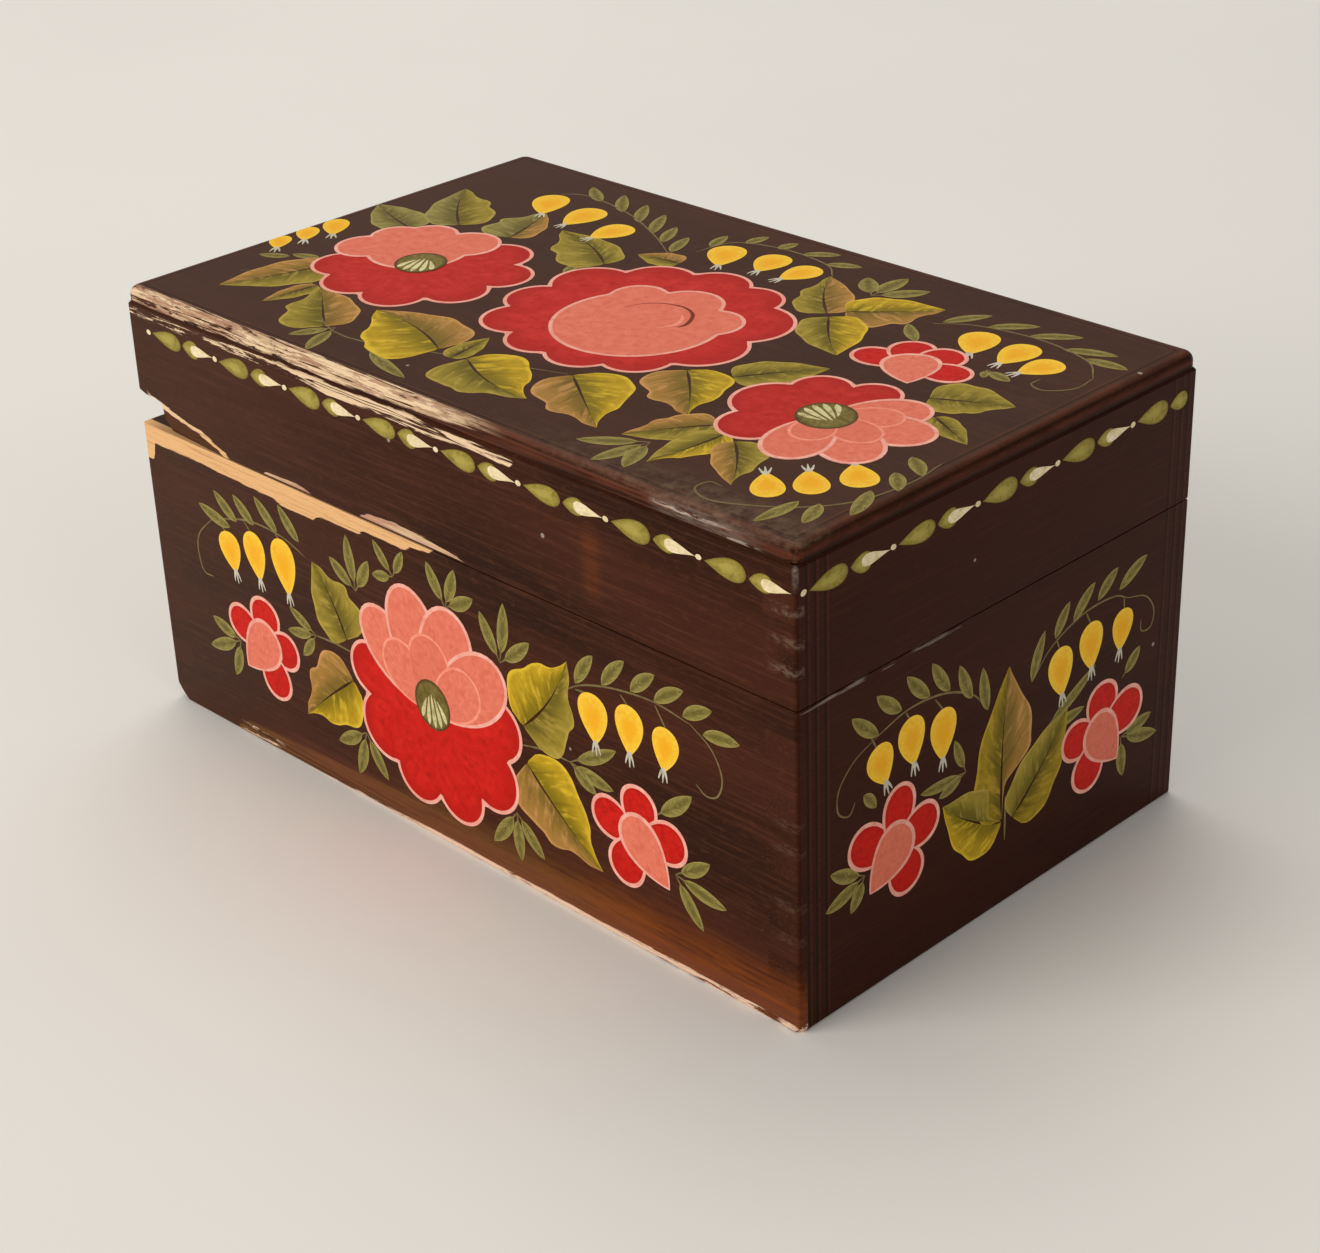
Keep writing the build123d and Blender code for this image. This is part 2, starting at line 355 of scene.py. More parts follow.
class FrontWear:
    """The wear on the front and on the lid's front edge, as masks. Its places are distances from
    the left and heights, which noise makes ragged."""

    def __init__(self, place, ragged):
        x, y, z = place.parts()
        self.z = z
        self.along = x - left_x
        self.ragged = ragged
        self.ragged_z = z + (ragged - 0.5) * 2.2
        self.facing = y.step(front_y + 2.4, front_y + 2.0)
        self.lid_only = z.step(seam_z, seam_z + 0.05)
        self.streaks = place.noise((0.10, 1.0, 1.0), detail=5.0, rough=0.7)
        self.lines = place.noise((0.02, 1.7, 1.7), detail=3.0, rough=0.6)
        self.patches = place.noise((0.11, 0.6, 0.6), detail=5.0, rough=0.75)
        splits = place.noise((0.035, 0.85, 0.85), detail=2.0)
        self.unsplit = splits.near(0.57, 0.014, 0.045)
        self.most_worn = self.along.step(50, 72) * self.along.step(150, 112)
        self.top_strip = self.worn_top_strip()
        self.over_break = self.ragged_z - self.along.profile(0, length, break_line)
        self.near_break = self.lid_only * self.along.within(4, 32, 1.0)

    def above(self, points, soft=0.12):
        return (self.ragged_z - self.along.profile(0, length, points)).step(-soft, soft)

    def below(self, points, soft=0.12):
        return (self.along.profile(0, length, points) - self.ragged_z).step(-soft, soft)

    def seam_band(self):
        """The pale band of bare wood on the base, under the seam."""
        base_only = self.z.step(seam_z, seam_z - 0.05)
        return base_only * self.above(band_low_edge) * self.along.within(before_left, band_end, 0.7)

    def foot(self):
        """A thin bare edge along the foot, and a few bare lines over its left end."""
        height = self.along.step(45, 105) * 1.4 + 0.1
        gaps = (self.streaks + self.along.step(165, 150) * 0.1).step(0.46, 0.52)
        edge = (height - self.ragged_z).step(-0.2, 0.2) * self.along.step(20, 40) * gaps
        heights = self.ragged_z.step(3.2, 2.6) * self.ragged_z.step(0.5, 0.9)
        return edge | self.along.within(26, 40, 2) * heights * self.streaks.step(0.5, 0.56)

    def ridge(self):
        """The bare strip under the lid's moulding, split along the grain."""
        strip = self.above(ridge_low_edge) * self.below(ridge_high_edge)
        strip = strip * self.along.within(before_left, ridge_end, 0.8)
        return strip * (self.streaks + self.most_worn * 0.12).step(0.50, 0.55) * self.unsplit

    def worn_top_strip(self):
        """The worn strip on the lid's rounded edge."""
        strip = self.above(top_strip_edge, 0.3) * self.along.within(before_left, top_strip_end, 14)
        return strip * (self.patches - self.most_worn * 0.08).step(0.60, 0.52) * self.unsplit

    def bare(self):
        """Bare wood."""
        flecks = self.top_strip * (self.streaks + self.most_worn * 0.06).step(0.50, 0.56)
        crack = self.near_break * abs(self.over_break).step(0.7, 0.45)
        return self.facing * (self.seam_band() | self.foot() | self.ridge() | flecks | crack)

    def shown(self):
        """Wood that only shows through: chips over the seam, and the rest of the top strip."""
        chips = self.lid_only * self.below(chip_high_edge)
        chips = chips * self.z.step(lid_rim_z + 0.25, lid_rim_z + 0.5)
        return self.facing * (chips | self.top_strip * 0.85)

    def broken(self):
        """The old break at the lid's lower left."""
        return self.facing * self.near_break * self.over_break.step(-0.2, -0.5)

    def rubbed(self):
        """Brown where the moulding and the foot are rubbed."""
        moulding = self.z.step(board_z - 0.2, board_z + 0.3) * self.along.step(75, 105)
        moulding = moulding * self.lines.step(0.46, 0.6)
        foot = self.z.step(8.5, 3.5) * self.along.step(22, 60) * self.lines.step(0.3, 0.6)
        return self.facing * (moulding * 0.5 | foot * 0.75)

    def gold(self):
        """Golden lacquer along the foot."""
        band = self.below(foot_band_edge, 0.5) * self.lines.step(0.25, 0.6)
        glow = self.z.step(13, 1) * self.along.step(70, 100) * self.along.step(175, 130)
        return self.facing * (band * 0.7 | glow * 0.75) * self.ragged.step(0.15, 0.6)

    def amber(self):
        """Amber lacquer at the lower right corner, and an upright streak on the lid."""
        corner = self.z.step(17, 2) * self.along.step(118, 160)
        streak = self.along.near(streak_middle, 4.2, 0.2) * self.z.step(73, 82) * self.z.step(96, 84)
        return self.facing * (corner * 0.9 | streak * 0.3) * self.ragged.step(0.2, 0.65)


def lid_corner_scuffs_and_highlight(place):
    """Scratches and haze on the lid's rounded front edge, and a painted highlight on the corner under it."""
    x, y, z = place.parts()
    along = x - left_x
    sway = place.noise((0.12, 0.0, 0.0), detail=4.0, rough=0.6)
    torn = place.noise((0.22, 1.4, 1.4), detail=5.0, rough=0.75)
    height = z + (sway - 0.5) * 1.2
    marks = []
    for drop, reach, fade_in, fade_out, tear, strength in scratches:
        mark = height.near(top_z - drop, *reach) * along.step(*fade_in) * along.step(*fade_out)
        marks.append(mark * torn.step(*tear) * strength)
    line, second, haze = marks
    edge = y.step(front_y + 3.0, front_y + 1.4) * (line | second | haze)
    # painted highlight: a pale haze on the upright corner edge under the lid's top
    corner = x.step(right_x - 1.2, right_x - 0.2) * y.step(front_y + 1.2, front_y + 0.2)
    corner = corner * z.step(board_z - 6, board_z - 1) * z.step(top_z - 0.4, top_z - 2.0)
    return edge | corner * torn.step(0.25, 0.65) * 0.32


def scuffs_and_highlight(shader, place):
    """Scuffs and a painted highlight at the lid's front right corner, a few white specks, and a scratched
    line along the seam of the right end."""
    x, y, z = place.parts()
    specks = shader.node("ShaderNodeTexVoronoi", Vector=place, Scale=0.055)
    dot = Field(shader, specks.outputs["Distance"]).step(0.034, 0.022) * 0.5
    broken = place.noise((1.0, 0.12, 1.0), detail=3.0)
    seam = x.step(right_x - 0.5, right_x - 0.2) * broken.step(0.47, 0.6)
    seam = seam * y.step(front_y + 62, front_y + 30)
    seam = seam * z.step(base_rim_z - 1.0, base_rim_z - 0.7) * z.step(base_rim_z + 0.1, base_rim_z)
    return lid_corner_scuffs_and_highlight(place) | dot | seam * 0.3


def moulding_lines(place):
    """Lines that follow the lid's moulded edge: painted shade, and rubbed lacquer with painted highlight.
    They are placed by the way run
    from the edge: in over the top it is less than nothing, and down the side it is more."""
    x, y, z = place.parts()
    from_end = right_x - abs(x)
    from_side = depth / 2 - abs(y - (front_y + back_y) / 2)
    inside = from_end.shader.maths("MINIMUM", from_end, from_side)
    broken = place.noise((0.08, 0.08, 0.5), detail=4.0, rough=0.6)
    way = top_z - z - inside + (broken - 0.5) * 0.5
    lid_edge = z.step(board_z - 0.1, board_z + 0.2)
    # painted shade along the moulded edge and in its groove
    dark = way.profile(-edge_reach, edge_reach, edge_shade_lines)
    # rubbed lacquer with painted highlight along the moulded edge
    rub_and_highlight = way.profile(-edge_reach, edge_reach, edge_rub_and_highlight_lines) * broken.step(0.3, 0.65)
    return dark * lid_edge, rub_and_highlight * lid_edge


def finger_marks(place):
    """Where the lacquer shows the finger joints: pale patches on the front, and dark and light
    upright lines on both ends."""
    x, y, z = place.parts()
    mottle = place.noise((0.5, 0.5, 1.1), detail=4.0, rough=0.7)
    corner = x.step(right_x - 8.0, right_x - 4) * y.step(front_y + 2.4, front_y + 2.0)
    pale = corner * z.near_any(finger_patch_heights, 1.5, 0.5) * mottle.step(0.42, 0.6)
    dark_places = [front_y + d for d in joint_lines] + [back_y - d for d in joint_lines]
    light_places = [line_y + light_line_offset for line_y in dark_places]
    end = abs(x).step(right_x - 0.3, right_x - 0.1) * z.step(board_z - 0.1, board_z - 0.4)
    dark = end * y.near_any(dark_places, 0.5, 0.15)
    light = end * y.near_any(light_places, 0.5, 0.1) * mottle.step(0.3, 0.55)
    return pale, dark, light


def inside_mask(place):
    """1 on the faces that the closed box hides inside it."""
    x, y, z = place.parts()
    far, near = 0.06, 0.02
    mask = abs(x).step(far - inner_left_x, near - inner_left_x)
    mask = mask * y.step(inner_front_y - far, inner_front_y - near)
    mask = mask * y.step(inner_back_y + far, inner_back_y + near)
    return mask * z.step(inner_floor_z - far, inner_floor_z - near) * z.step(board_z + far, board_z + near)


def grain(place, along, with_grain, across, **settings):
    """Noise that is stretched along a board whose grain runs along x or y."""
    stretch = {"x": (with_grain, across, across), "y": (across, with_grain, across)}[along]
    return place.noise(stretch, **settings)


def plain_lacquer(shader, place, fine, slow, mottle):
    """Dark lacquer: greyer to the left, with painted sheen greying the top and painted shade darkening the
    ends to a deeper red.
    """
    x, _, z = place.parts()
    shaded_end = abs(x).step(right_x - 0.4, right_x - 0.1)
    edge_shade, edge_rub_and_highlight = moulding_lines(place)
    return shader.layered(
        lacquer_dark,
        (slow.step(0.3, 0.7), lacquer_mid),
        (fine.step(0.45, 0.75) * 0.5, lacquer_light),
        (mottle.step(0.5, 0.75) * 0.4, lacquer_light),
        (x.step(right_x - 90, left_x) * 0.45, lacquer_grey_and_sheen),
        # painted sheen: the whole top greyed
        (z.step(top_z - 0.9, top_z - 0.1) * 0.45, lacquer_grey_and_sheen),
        # painted shade: both ends darker and redder
        (shaded_end * 0.6, lacquer_end_shade),
        # rubbed lacquer with painted highlight along the moulded edge
        (edge_rub_and_highlight * 0.6, rub_and_highlight_brown),
        # painted shade along the moulded edge and in its groove
        (edge_shade * 0.75, lacquer_black_and_shade),
    )


def used_lacquer(shader, place, base, mottle, wear):
    """The lacquer with its joint lines, glow, rubbed and scuffed places, a painted highlight on the lid's
    front corner, and painted sheen near the top's front edge.
    """
    x, y, z = place.parts()
    pale, joint_dark, joint_light = finger_marks(place)
    # Painted sheen: a grey haze on the top near its front edge
    top_sheen = y.step(front_y + 14, front_y + 3) * x.step(left_x + 110, right_x - 20)
    top_sheen = top_sheen * z.step(top_z - 1.4, top_z - 0.4) * mottle.step(0.35, 0.65)
    return shader.layered(
        base,
        (joint_light * 0.3, lacquer_light),
        (joint_dark * 0.65, lacquer_black_and_shade),
        (wear.gold(), lacquer_gold),
        (wear.amber(), lacquer_amber),
        (wear.rubbed(), rub_and_highlight_brown),
        (top_sheen * 0.5, sheen_grey),
        (pale * (z.step(60, 75) * 0.16 + 0.1), joint_pale),
        # scuffs, and a painted highlight on the lid's front corner
        (scuffs_and_highlight(shader, place), scuff_and_highlight_white),
    )


def lacquered_wood(name, along):
    """Dark lacquer over wood whose grain runs along x or y, with all of the box's wear."""
    shader = Shader(name)
    place = shader.place_mm()
    _, _, z = place.parts()
    fine = grain(place, along, 0.05, 1.6, detail=4.0, rough=0.65)
    slow = grain(place, along, 0.012, 0.06)
    mottle = place.noise((0.35, 0.35, 0.9), detail=5.0, rough=0.7)
    ragged = place.noise((0.07, 0.5, 0.9), detail=5.0, rough=0.65)
    fibre = place.noise((0.06, 2.6, 2.6), detail=4.0, rough=0.7)
    grooves = fibre.step(0.5, 0.72)
    wear = FrontWear(place, ragged)
    bare, shown, broken, inner = wear.bare(), wear.shown(), wear.broken(), inside_mask(place)

    old_wood = shader.layered(old_break, (grooves, break_shade))
    shown_wood = shader.layered(
        bare_pink, (ragged.step(0.4, 0.62), bare_cream), (grooves * 0.7, bare_shade)
    )
    bare_wood = shader.layered(
        bare_warm, (z.step(lid_rim_z, 80), bare_pale), (z.step(8, 5), foot_pale), (grooves * 0.6, bare_shade)
    )
    stain = shader.layered(stain_dark, (fine.step(0.35, 0.7), stain_light))
    base = plain_lacquer(shader, place, fine, slow, mottle)
    base = used_lacquer(shader, place, base, mottle, wear)
    base = shader.layered(base, (broken, old_wood), (shown, shown_wood), (bare, bare_wood), (inner, stain))

    dull = bare | shown | broken | inner
    rough = slow * 0.16 + 0.3 + dull * 0.35
    height = fine * 0.5 + (bare | broken) * -3.0 + dull * fibre * 2.4 + mottle * 0.5
    normal = shader.bump(height, 0.6, 0.06)
    return shader.finish(base, rough, normal, Specular_IOR_Level=0.06, Specular_Tint=warm_sheen)


def brass(name, shade, rough):
    """Dull brass with darker tarnish in patches and a fine brushed bump."""
    shader = Shader(name)
    place = shader.place_mm()
    tarnish = place.noise(scale=0.35, detail=4.0, rough=0.6)
    lines = place.noise((0.4, 5.0, 5.0), detail=2.0)
    base = shader.layered(colour(shade), (tarnish.step(0.45, 0.72), brass_tarnish))
    return shader.finish(base, tarnish * 0.25 + rough, shader.bump(lines, 0.25, 0.02), Metallic=1.0)


# Paints

def brushed(shader, base, bristles, mottle, rough):
    """Ends a paint, whose brush lines stand up a little."""
    normal = shader.bump(bristles + mottle, 0.35, 0.03)
    rough = mottle * 0.15 + rough
    return shader.finish(base, rough, normal, Specular_IOR_Level=0.07, Specular_Tint=warm_sheen)


def paint(name, body, deep, light, streaks=(30, 5), heart=None, rim=None):
    """Brushed paint. The streaks say how often its tone changes along a stroke and across it, the
    heart is the colour of the stroke's middle, and the rim that of its edge."""
    shader = Shader(name)
    stroke, tone = shader.stroke()
    _, out, _ = stroke.parts()
    bristles = stroke.noise((*streaks, 1.0))
    mottle = shader.place_mm().noise(scale=0.55, detail=4.0, rough=0.6)
    layers = [
        (bristles.step(0.35, 0.75), light), (mottle.step(0.45, 0.75) * 0.75, deep), (tone * 0.3, deep),
    ]
    if heart:
        layers.append(((out + (mottle - 0.5) * 0.7).step(0.75, 0.25) * 0.75, heart))
    if rim:
        layers.append((out.step(0.8, 0.98) * 0.7, rim))
    base = shader.layered(colour(body), *[(share, colour(code)) for share, code in layers])
    return brushed(shader, base, bristles, mottle, 0.32)


def leaf_paint(name, near, far, edge, vein):
    """A leaf half: dark by the spine, brighter to the edge, with slanting veins and brush lines."""
    shader = Shader(name)
    stroke, tone = shader.stroke()
    run, out, _ = stroke.parts()
    slant = run - out * 0.22
    lines = shader.node("ShaderNodeCombineXYZ", X=slant * 13.0, Y=out * 1.6, Z=tone * 9.0)
    bristles = Field(shader, lines.outputs[0]).noise(rough=0.6)
    mottle = shader.place_mm().noise(scale=0.5)
    wave = (slant * 3.6 + 0.2).fraction()
    gleam = wave.near(0.15, 0.1, 0.03) * out.step(0.45, 0.8) * bristles.step(0.35, 0.6)
    rib = wave.near(0.5, 0.09, 0.015) * out.step(0.95, 0.45) * run.step(0.97, 0.8)
    near, far, edge, vein = [colour(code) for code in (near, far, edge, vein)]
    base = shader.layered(
        near, (out.step(0.05, 0.75), far), (bristles.step(0.48, 0.68) * 0.6, edge),
        (out.step(0.86, 0.97) * 0.8, edge), (gleam * 0.45, edge), (rib * 0.28, vein),
        (mottle.step(0.45, 0.8) * 0.45, near),
    )
    return brushed(shader, base, bristles, mottle, 0.34)


# Each paint: its material and the record's slot. Body, deep and light come first in a brushed
# paint, and near, far, edge and vein in a leaf's
broad, thin = (14, 3), (10, 3)
paints = {
    "red": (paint("red_paint", "c8170f", "aa0f0a", "d8241a", rim="b4130c"), "paint_red"),
    "crimson": (paint("crimson_paint", "c0231e", "a61815", "cf332b", rim="ad1c18"), "paint_red"),
    "coral": (paint("coral_paint", "e37862", "d46650", "ec866e"), "paint_coral"),
    "pink": (paint("pink_paint", "f2ab9a", "e08c7c", "fcc4b4", broad), "paint_pink"),
    "salmon": (paint("salmon_paint", "f4957e", "e88468", "fba992", broad), "paint_pink"),
    "dull": (leaf_paint("dull_leaf_paint", "6c5f1a", "98862e", "b8a048", "3a2e10"), "paint_green"),
    "brown": (leaf_paint("brown_leaf_paint", "7c6424", "a67c3a", "cf9a5c", "402e12"), "paint_green"),
    "bright": (leaf_paint("bright_leaf_paint", "82700f", "bb9a1c", "e8c436", "4c430e"), "paint_yellow"),
    "gold": (leaf_paint("gold_leaf_paint", "6d5d12", "9c841c", "c4a234", "3c300c"), "paint_green"),
    "leaflet": (leaf_paint("leaflet_paint", "6a5f2c", "8c8244", "a99c56", "483e1a"), "paint_green"),
    "stem": (paint("stem_paint", "756640", "5a4c2c", "93845a", (6, 2)), "paint_green"),
    "bud": (
        paint("bud_paint", "f9c428", "f0ad1c", "fcd450", heart="f4ab18", rim="fbd044"), "paint_yellow",
    ),
    "olive": (
        paint("olive_paint", "92843a", "766a2a", "b0a04c", heart="b2a352", rim="6e6226"), "paint_green",
    ),
    "cream": (paint("cream_paint", "ead9ae", "cbb47c", "fff2d4", thin), "paint_cream"),
    "grey": (paint("grey_paint", "c9c2ae", "a09a86", "e6e0d2", thin), "paint_cream"),
    "eye": (paint("eye_paint", "73672e", "54461e", "908446", rim="43260f"), "paint_green"),
    "ray": (paint("ray_paint", "d9cf96", "8a8444", "f8eec8", thin), "paint_cream"),
    "curl": (paint("curl_paint", "7a3018", "5a200e", "96442a"), "paint_red"),
}


# Curves in the plane of a face, in millimetres

def turned(vector):
    """The vector a quarter turn to the left."""
    return Vector((-vector.y, vector.x))


def smooth(points, steps=6):
    """More points on a smooth curve through the given ones."""
    spots = [Vector(p) for p in points]
    if len(spots) < 3:
        return [spots[0].lerp(spots[-1], i / steps) for i in range(steps + 1)]
    padded = [spots[0] * 2 - spots[1], *spots, spots[-1] * 2 - spots[-2]]
    made = []
    for a, b, c, d in zip(padded, padded[1:], padded[2:], padded[3:]):
        square, cube = a * 2 - b * 5 + c * 4 - d, b * 3 - a - c * 3 + d
        for i in range(steps):
            t = i / steps
            made.append((b * 2 + (c - a) * t + square * t**2 + cube * t**3) / 2)
    return [*made, spots[-1]]


def bowed(root, tip, bow, steps):
    """Points from root to tip, bowed to the left by a share of their distance."""
    middle = (root + tip) / 2 + turned(tip - root) * bow
    made = []
    for i in range(steps + 1):
        t = i / steps
        made.append(root * (1 - t)**2 + middle * 2 * t * (1 - t) + tip * t**2)
    return made


def drop_outline(root, tip, width, pinch, segments=petal_segments):
    """A closed drop, narrow at its root and round at its tip. With no pinch it is an ellipse."""
    root, tip = Vector(root), Vector(tip)
    side = turned(tip - root).normalized()
    share = (pinch + 0.5) / (pinch + 1)
    peak = 2 * share**(pinch + 0.5) * (1 - share)**0.5
    made = []
    for i in range(segments):
        angle = 2 * pi * i / segments
        along = (1 - cos(angle)) / 2
        out = sin(angle) * along**pinch / peak
        made.append(root.lerp(tip, along) - side * (out * width / 2))
    return made


def lobed_outline(middle, lobes, core, inset=0.0):
    """The outline, seen from the middle, of a round core and the circles of its lobes together.
    Each lobe is its tip and width."""
    middle = Vector(middle)
    made = []
    for i in range(lobed_segments):
        angle = 2 * pi * i / lobed_segments
        ray = Vector((cos(angle), sin(angle)))
        reach = core - inset
        for x, y, width in lobes:
            arm = Vector((x, y)) - middle
            centre = arm * (1 - width / 2 / arm.length)
            radius = width / 2 - inset
            off = ray.x * centre.y - ray.y * centre.x
            if abs(off) < radius and ray.dot(centre) > 0:
                reach = max(reach, ray.dot(centre) + (radius**2 - off**2)**0.5)
        made.append(middle + ray * reach)
    return made


# Painted faces

class Face:
    """An outer face of the box: u runs along it and v up it or back over it. Where its edges are
    rounded, the paint on it follows them down."""

    def __init__(self, name, body, origin, u_axis, v_axis, size=None, edge_round=0.0):
        self.name = name
        self.body = body
        self.origin = Vector(origin)
        self.u_axis = Vector(u_axis)
        self.v_axis = Vector(v_axis)
        self.normal = self.u_axis.cross(self.v_axis)
        self.size = size
        self.edge_round = edge_round
        self.coats = {}
        self.strokes = 0

    def fall(self, u, v):
        """How far the surface lies under the face's plane."""
        if not self.edge_round:
            return 0.0
        wide, high = self.size
        over = self.edge_round - max(min(u, wide - u, v, high - v), 0.0)
        if over <= 0:
            return 0.0
        return self.edge_round - (self.edge_round**2 - over**2)**0.5

    def at(self, u, v, lift):
        lift -= self.fall(u, v)
        return (self.origin + self.u_axis * u + self.v_axis * v + self.normal * lift) * MM

    def coat(self, group):
        return self.coats.setdefault(group, Coat(self, group))

    def hang(self):
        for coat in self.coats.values():
            coat.hang()


class Coat:
    """Strokes of one kind on one face, which become one piece. Each stroke is a thin closed slab
    that stands on the wood."""

    def __init__(self, face, group):
        self.face = face
        self.group = group
        self.points = []
        self.maps = []
        self.tones = []
        self.sides = []
        self.slots = []
        self.paints = []

    def slab(self, tops, maps, quads, rim, layer, paint_name):
        """Adds one stroke: its top points and faces, and the loop of points round its edge."""
        if paint_name not in self.paints:
            self.paints.append(paint_name)
        start = len(self.points)
        self.face.strokes += 1
        lift = (layer + stroke_step * (self.face.strokes % strokes_in_turn)) * layer_step
        tone = random.random()
        foot = start + len(tops)
        count = len(rim)
        edge = [tops[i] for i in rim]
        self.points += [self.face.at(p.x, p.y, lift) for p in tops]
        self.points += [self.face.at(p.x, p.y, 0.0) for p in edge]
        self.maps += [*maps, *[maps[i] for i in rim]]
        self.tones += [tone] * (len(tops) + count)
        sides = [[start + i for i in quad] for quad in quads]
        for i in range(count):
            j = (i + 1) % count
            sides.append([start + rim[j], start + rim[i], foot + i, foot + j])
        sides.append([foot + i for i in reversed(range(count))])
        area = sum(a.x * b.y - b.x * a.y for a, b in zip(edge, edge[1:] + edge[:1]))
        self.sides += sides if area > 0 else [list(reversed(side)) for side in sides]
        self.slots += [self.paints.index(paint_name)] * len(sides)

    def fill(self, outline, layer, paint_name):
        """A closed shape, with rings of points round its middle."""
        middle = sum(outline, Vector((0, 0))) / len(outline)
        count = len(outline)
        tops, maps = [middle], [(0.0, 0.0)]
        for share in fill_rings:
            tops += [middle.lerp(p, share) for p in outline]
            maps += [(i / count, share) for i in range(count)]
        quads = [[0, 1 + i, 1 + (i + 1) % count] for i in range(count)]
        for ring in range(1, len(fill_rings)):
            inner, outer = 1 + (ring - 1) * count, 1 + ring * count
            for i in range(count):
                j = (i + 1) % count
                quads.append([inner + i, outer + i, outer + j, inner + j])
        last = 1 + (len(fill_rings) - 1) * count
        self.slab(tops, maps, quads, list(range(last, last + count)), layer, paint_name)

    def grid(self, rows, maps, layer, paint_name):
        """A stroke given as rows of points."""
        wide = len(rows[0])
        last = (len(rows) - 1) * wide
        quads = []
        for i in range(len(rows) - 1):
            for j in range(wide - 1):
                a = i * wide + j
                quads.append([a, a + wide, a + wide + 1, a + 1])
        rim = [i * wide for i in range(len(rows))]
        rim += [last + j for j in range(1, wide)]
        rim += [i * wide + wide - 1 for i in reversed(range(len(rows) - 1))]
        rim += list(reversed(range(1, wide - 1)))
        self.slab(sum(rows, []), sum(maps, []), quads, rim, layer, paint_name)

    def band(self, spine, halves, shares, layer, paint_name):
        """A stroke along a spine, with its half width at each point, and points across it at the
        shares of that width."""
        rows, maps = [], []
        last = len(spine) - 1
        for i, (point, half) in enumerate(zip(spine, halves)):
            ahead = spine[min(i + 1, last)] - spine[max(i - 1, 0)]
            side = turned(ahead).normalized()
            rows.append([point - side * (half * share) for share in shares])
            maps.append([(i / last, abs(share)) for share in shares])
        self.grid(rows, maps, layer, paint_name)

    def ribbon(self, spine, widths, layer, paint_name):
        """A brush line along a spine, as wide at each share of its length as widths says."""
        last = len(spine) - 1
        halves = [max(widths(i / last), least_width) / 2 for i in range(last + 1)]
        self.band(spine, halves, (-1, 0, 1), layer, paint_name)

    def hang(self):
        """Makes the piece and has it ride with its face."""
        name = f"{self.face.name}_{self.group}"
        mesh = bpy.data.meshes.new(name)
        mesh.from_pydata(self.points, [], self.sides)
        uv = mesh.uv_layers.new(name="stroke")
        for loop in mesh.loops:
            uv.data[loop.index].uv = self.maps[loop.vertex_index]
        tone = mesh.attributes.new("tone", "FLOAT", "POINT")
        tone.data.foreach_set("value", self.tones)
        for paint_name in self.paints:
            mesh.materials.append(paints[paint_name][0])
        mesh.polygons.foreach_set("material_index", self.slots)
        piece = bpy.data.objects.new(name, mesh)
        bpy.context.scene.collection.objects.link(piece)
        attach(piece, self.face.body)


# Motifs

# How narrow each kind of stroke is at its root, and how its layers lie
petal_pinch = 0.42
open_pinch = 0.26
red_pinch = 0.3
bud_pinch = 0.45
red_layer = 3
drop_layer = 9
eye_layer = 14
bud_layer = 3
mouth_layer = 3.9
leaflet_layer = 1.5

fine_line = ("salmon", inner_outline_width)
eye_rays = 5
mouth_reach = 3.0
mouth_spread = 1.15
stalk_width = 0.45
sprig_stalk_width = 0.4
sprig_stalk_share = 0.16
sprig_bow = 0.05
widest_sprig_leaflet = 0.46
leaflet_steps = 10
leaf_steps = 32
leaf_columns = 4
leaf_sweep = 0.22
leaf_ripple = 0.035
leaf_gap = 0.42

# How far a leaf's half reaches, as (share of the leaf's length, share of the half's greatest width)
leaf_shapes = {
    "round": [
        (0, 0.1), (0.04, 0.55), (0.13, 0.86), (0.3, 1), (0.5, 0.93), (0.68, 0.7), (0.84, 0.38),
        (0.95, 0.13), (1, 0),
    ],
    "scalloped": [
        (0, 0.1), (0.04, 0.58), (0.13, 0.9), (0.26, 1), (0.38, 0.94), (0.47, 0.83), (0.57, 0.84),
        (0.65, 0.7), (0.7, 0.5), (0.79, 0.34), (0.9, 0.22), (1, 0),
    ],
    "hooked": [
        (0, 0.1), (0.04, 0.48), (0.14, 0.8), (0.27, 0.98), (0.38, 1), (0.5, 0.8), (0.62, 0.66),
        (0.71, 0.52), (0.77, 0.28), (0.88, 0.1), (1, 0),
    ],
    "late": [
        (0, 0.02), (0.22, 0.06), (0.3, 0.4), (0.4, 0.95), (0.48, 1), (0.66, 0.86), (0.8, 0.5),
        (0.93, 0.15), (1, 0),
    ],
}


def petal(face, root, tip, width, fill, layer, pinch=petal_pinch, line="pink", line_width=outline_width):
    """A petal: a pale outline with the petal's own paint inside it."""
    root, tip = Vector(root), Vector(tip)
    ahead = (tip - root).normalized()
    face.coat("petal_outlines").fill(drop_outline(root, tip, width, pinch), layer, line)
    inner_root = root + ahead * line_width * 0.6
    inner = drop_outline(inner_root, tip - ahead * line_width, width - 2 * line_width, pinch)
    face.coat(f"{fill}_petals").fill(inner, layer + 1, fill)


def open_petals(face, root, rows, *line):
    """Coral petals that open out from one root, each given by its tip, width and layer."""
    for tip, width, layer in rows:
        petal(face, root, tip, width, "coral", layer, open_pinch, *line)


def lobed(face, middle, lobes, core, fill, layer):
    """Petals that run together into one scalloped shape with one outline."""
    face.coat("petal_outlines").fill(lobed_outline(middle, lobes, core), layer, "pink")
    inner = lobed_outline(middle, lobes, core, outline_width)
    face.coat(f"{fill}_petals").fill(inner, layer + 1, fill)


def between(points, at):
    """The height at a place on the smooth curve through (place, height) points."""
    run = smooth(points, 4)
    for a, b in zip(run, run[1:]):
        if at <= b.x:
            return a.y + (b.y - a.y) * (at - a.x) / (b.x - a.x)
    return run[-1].y


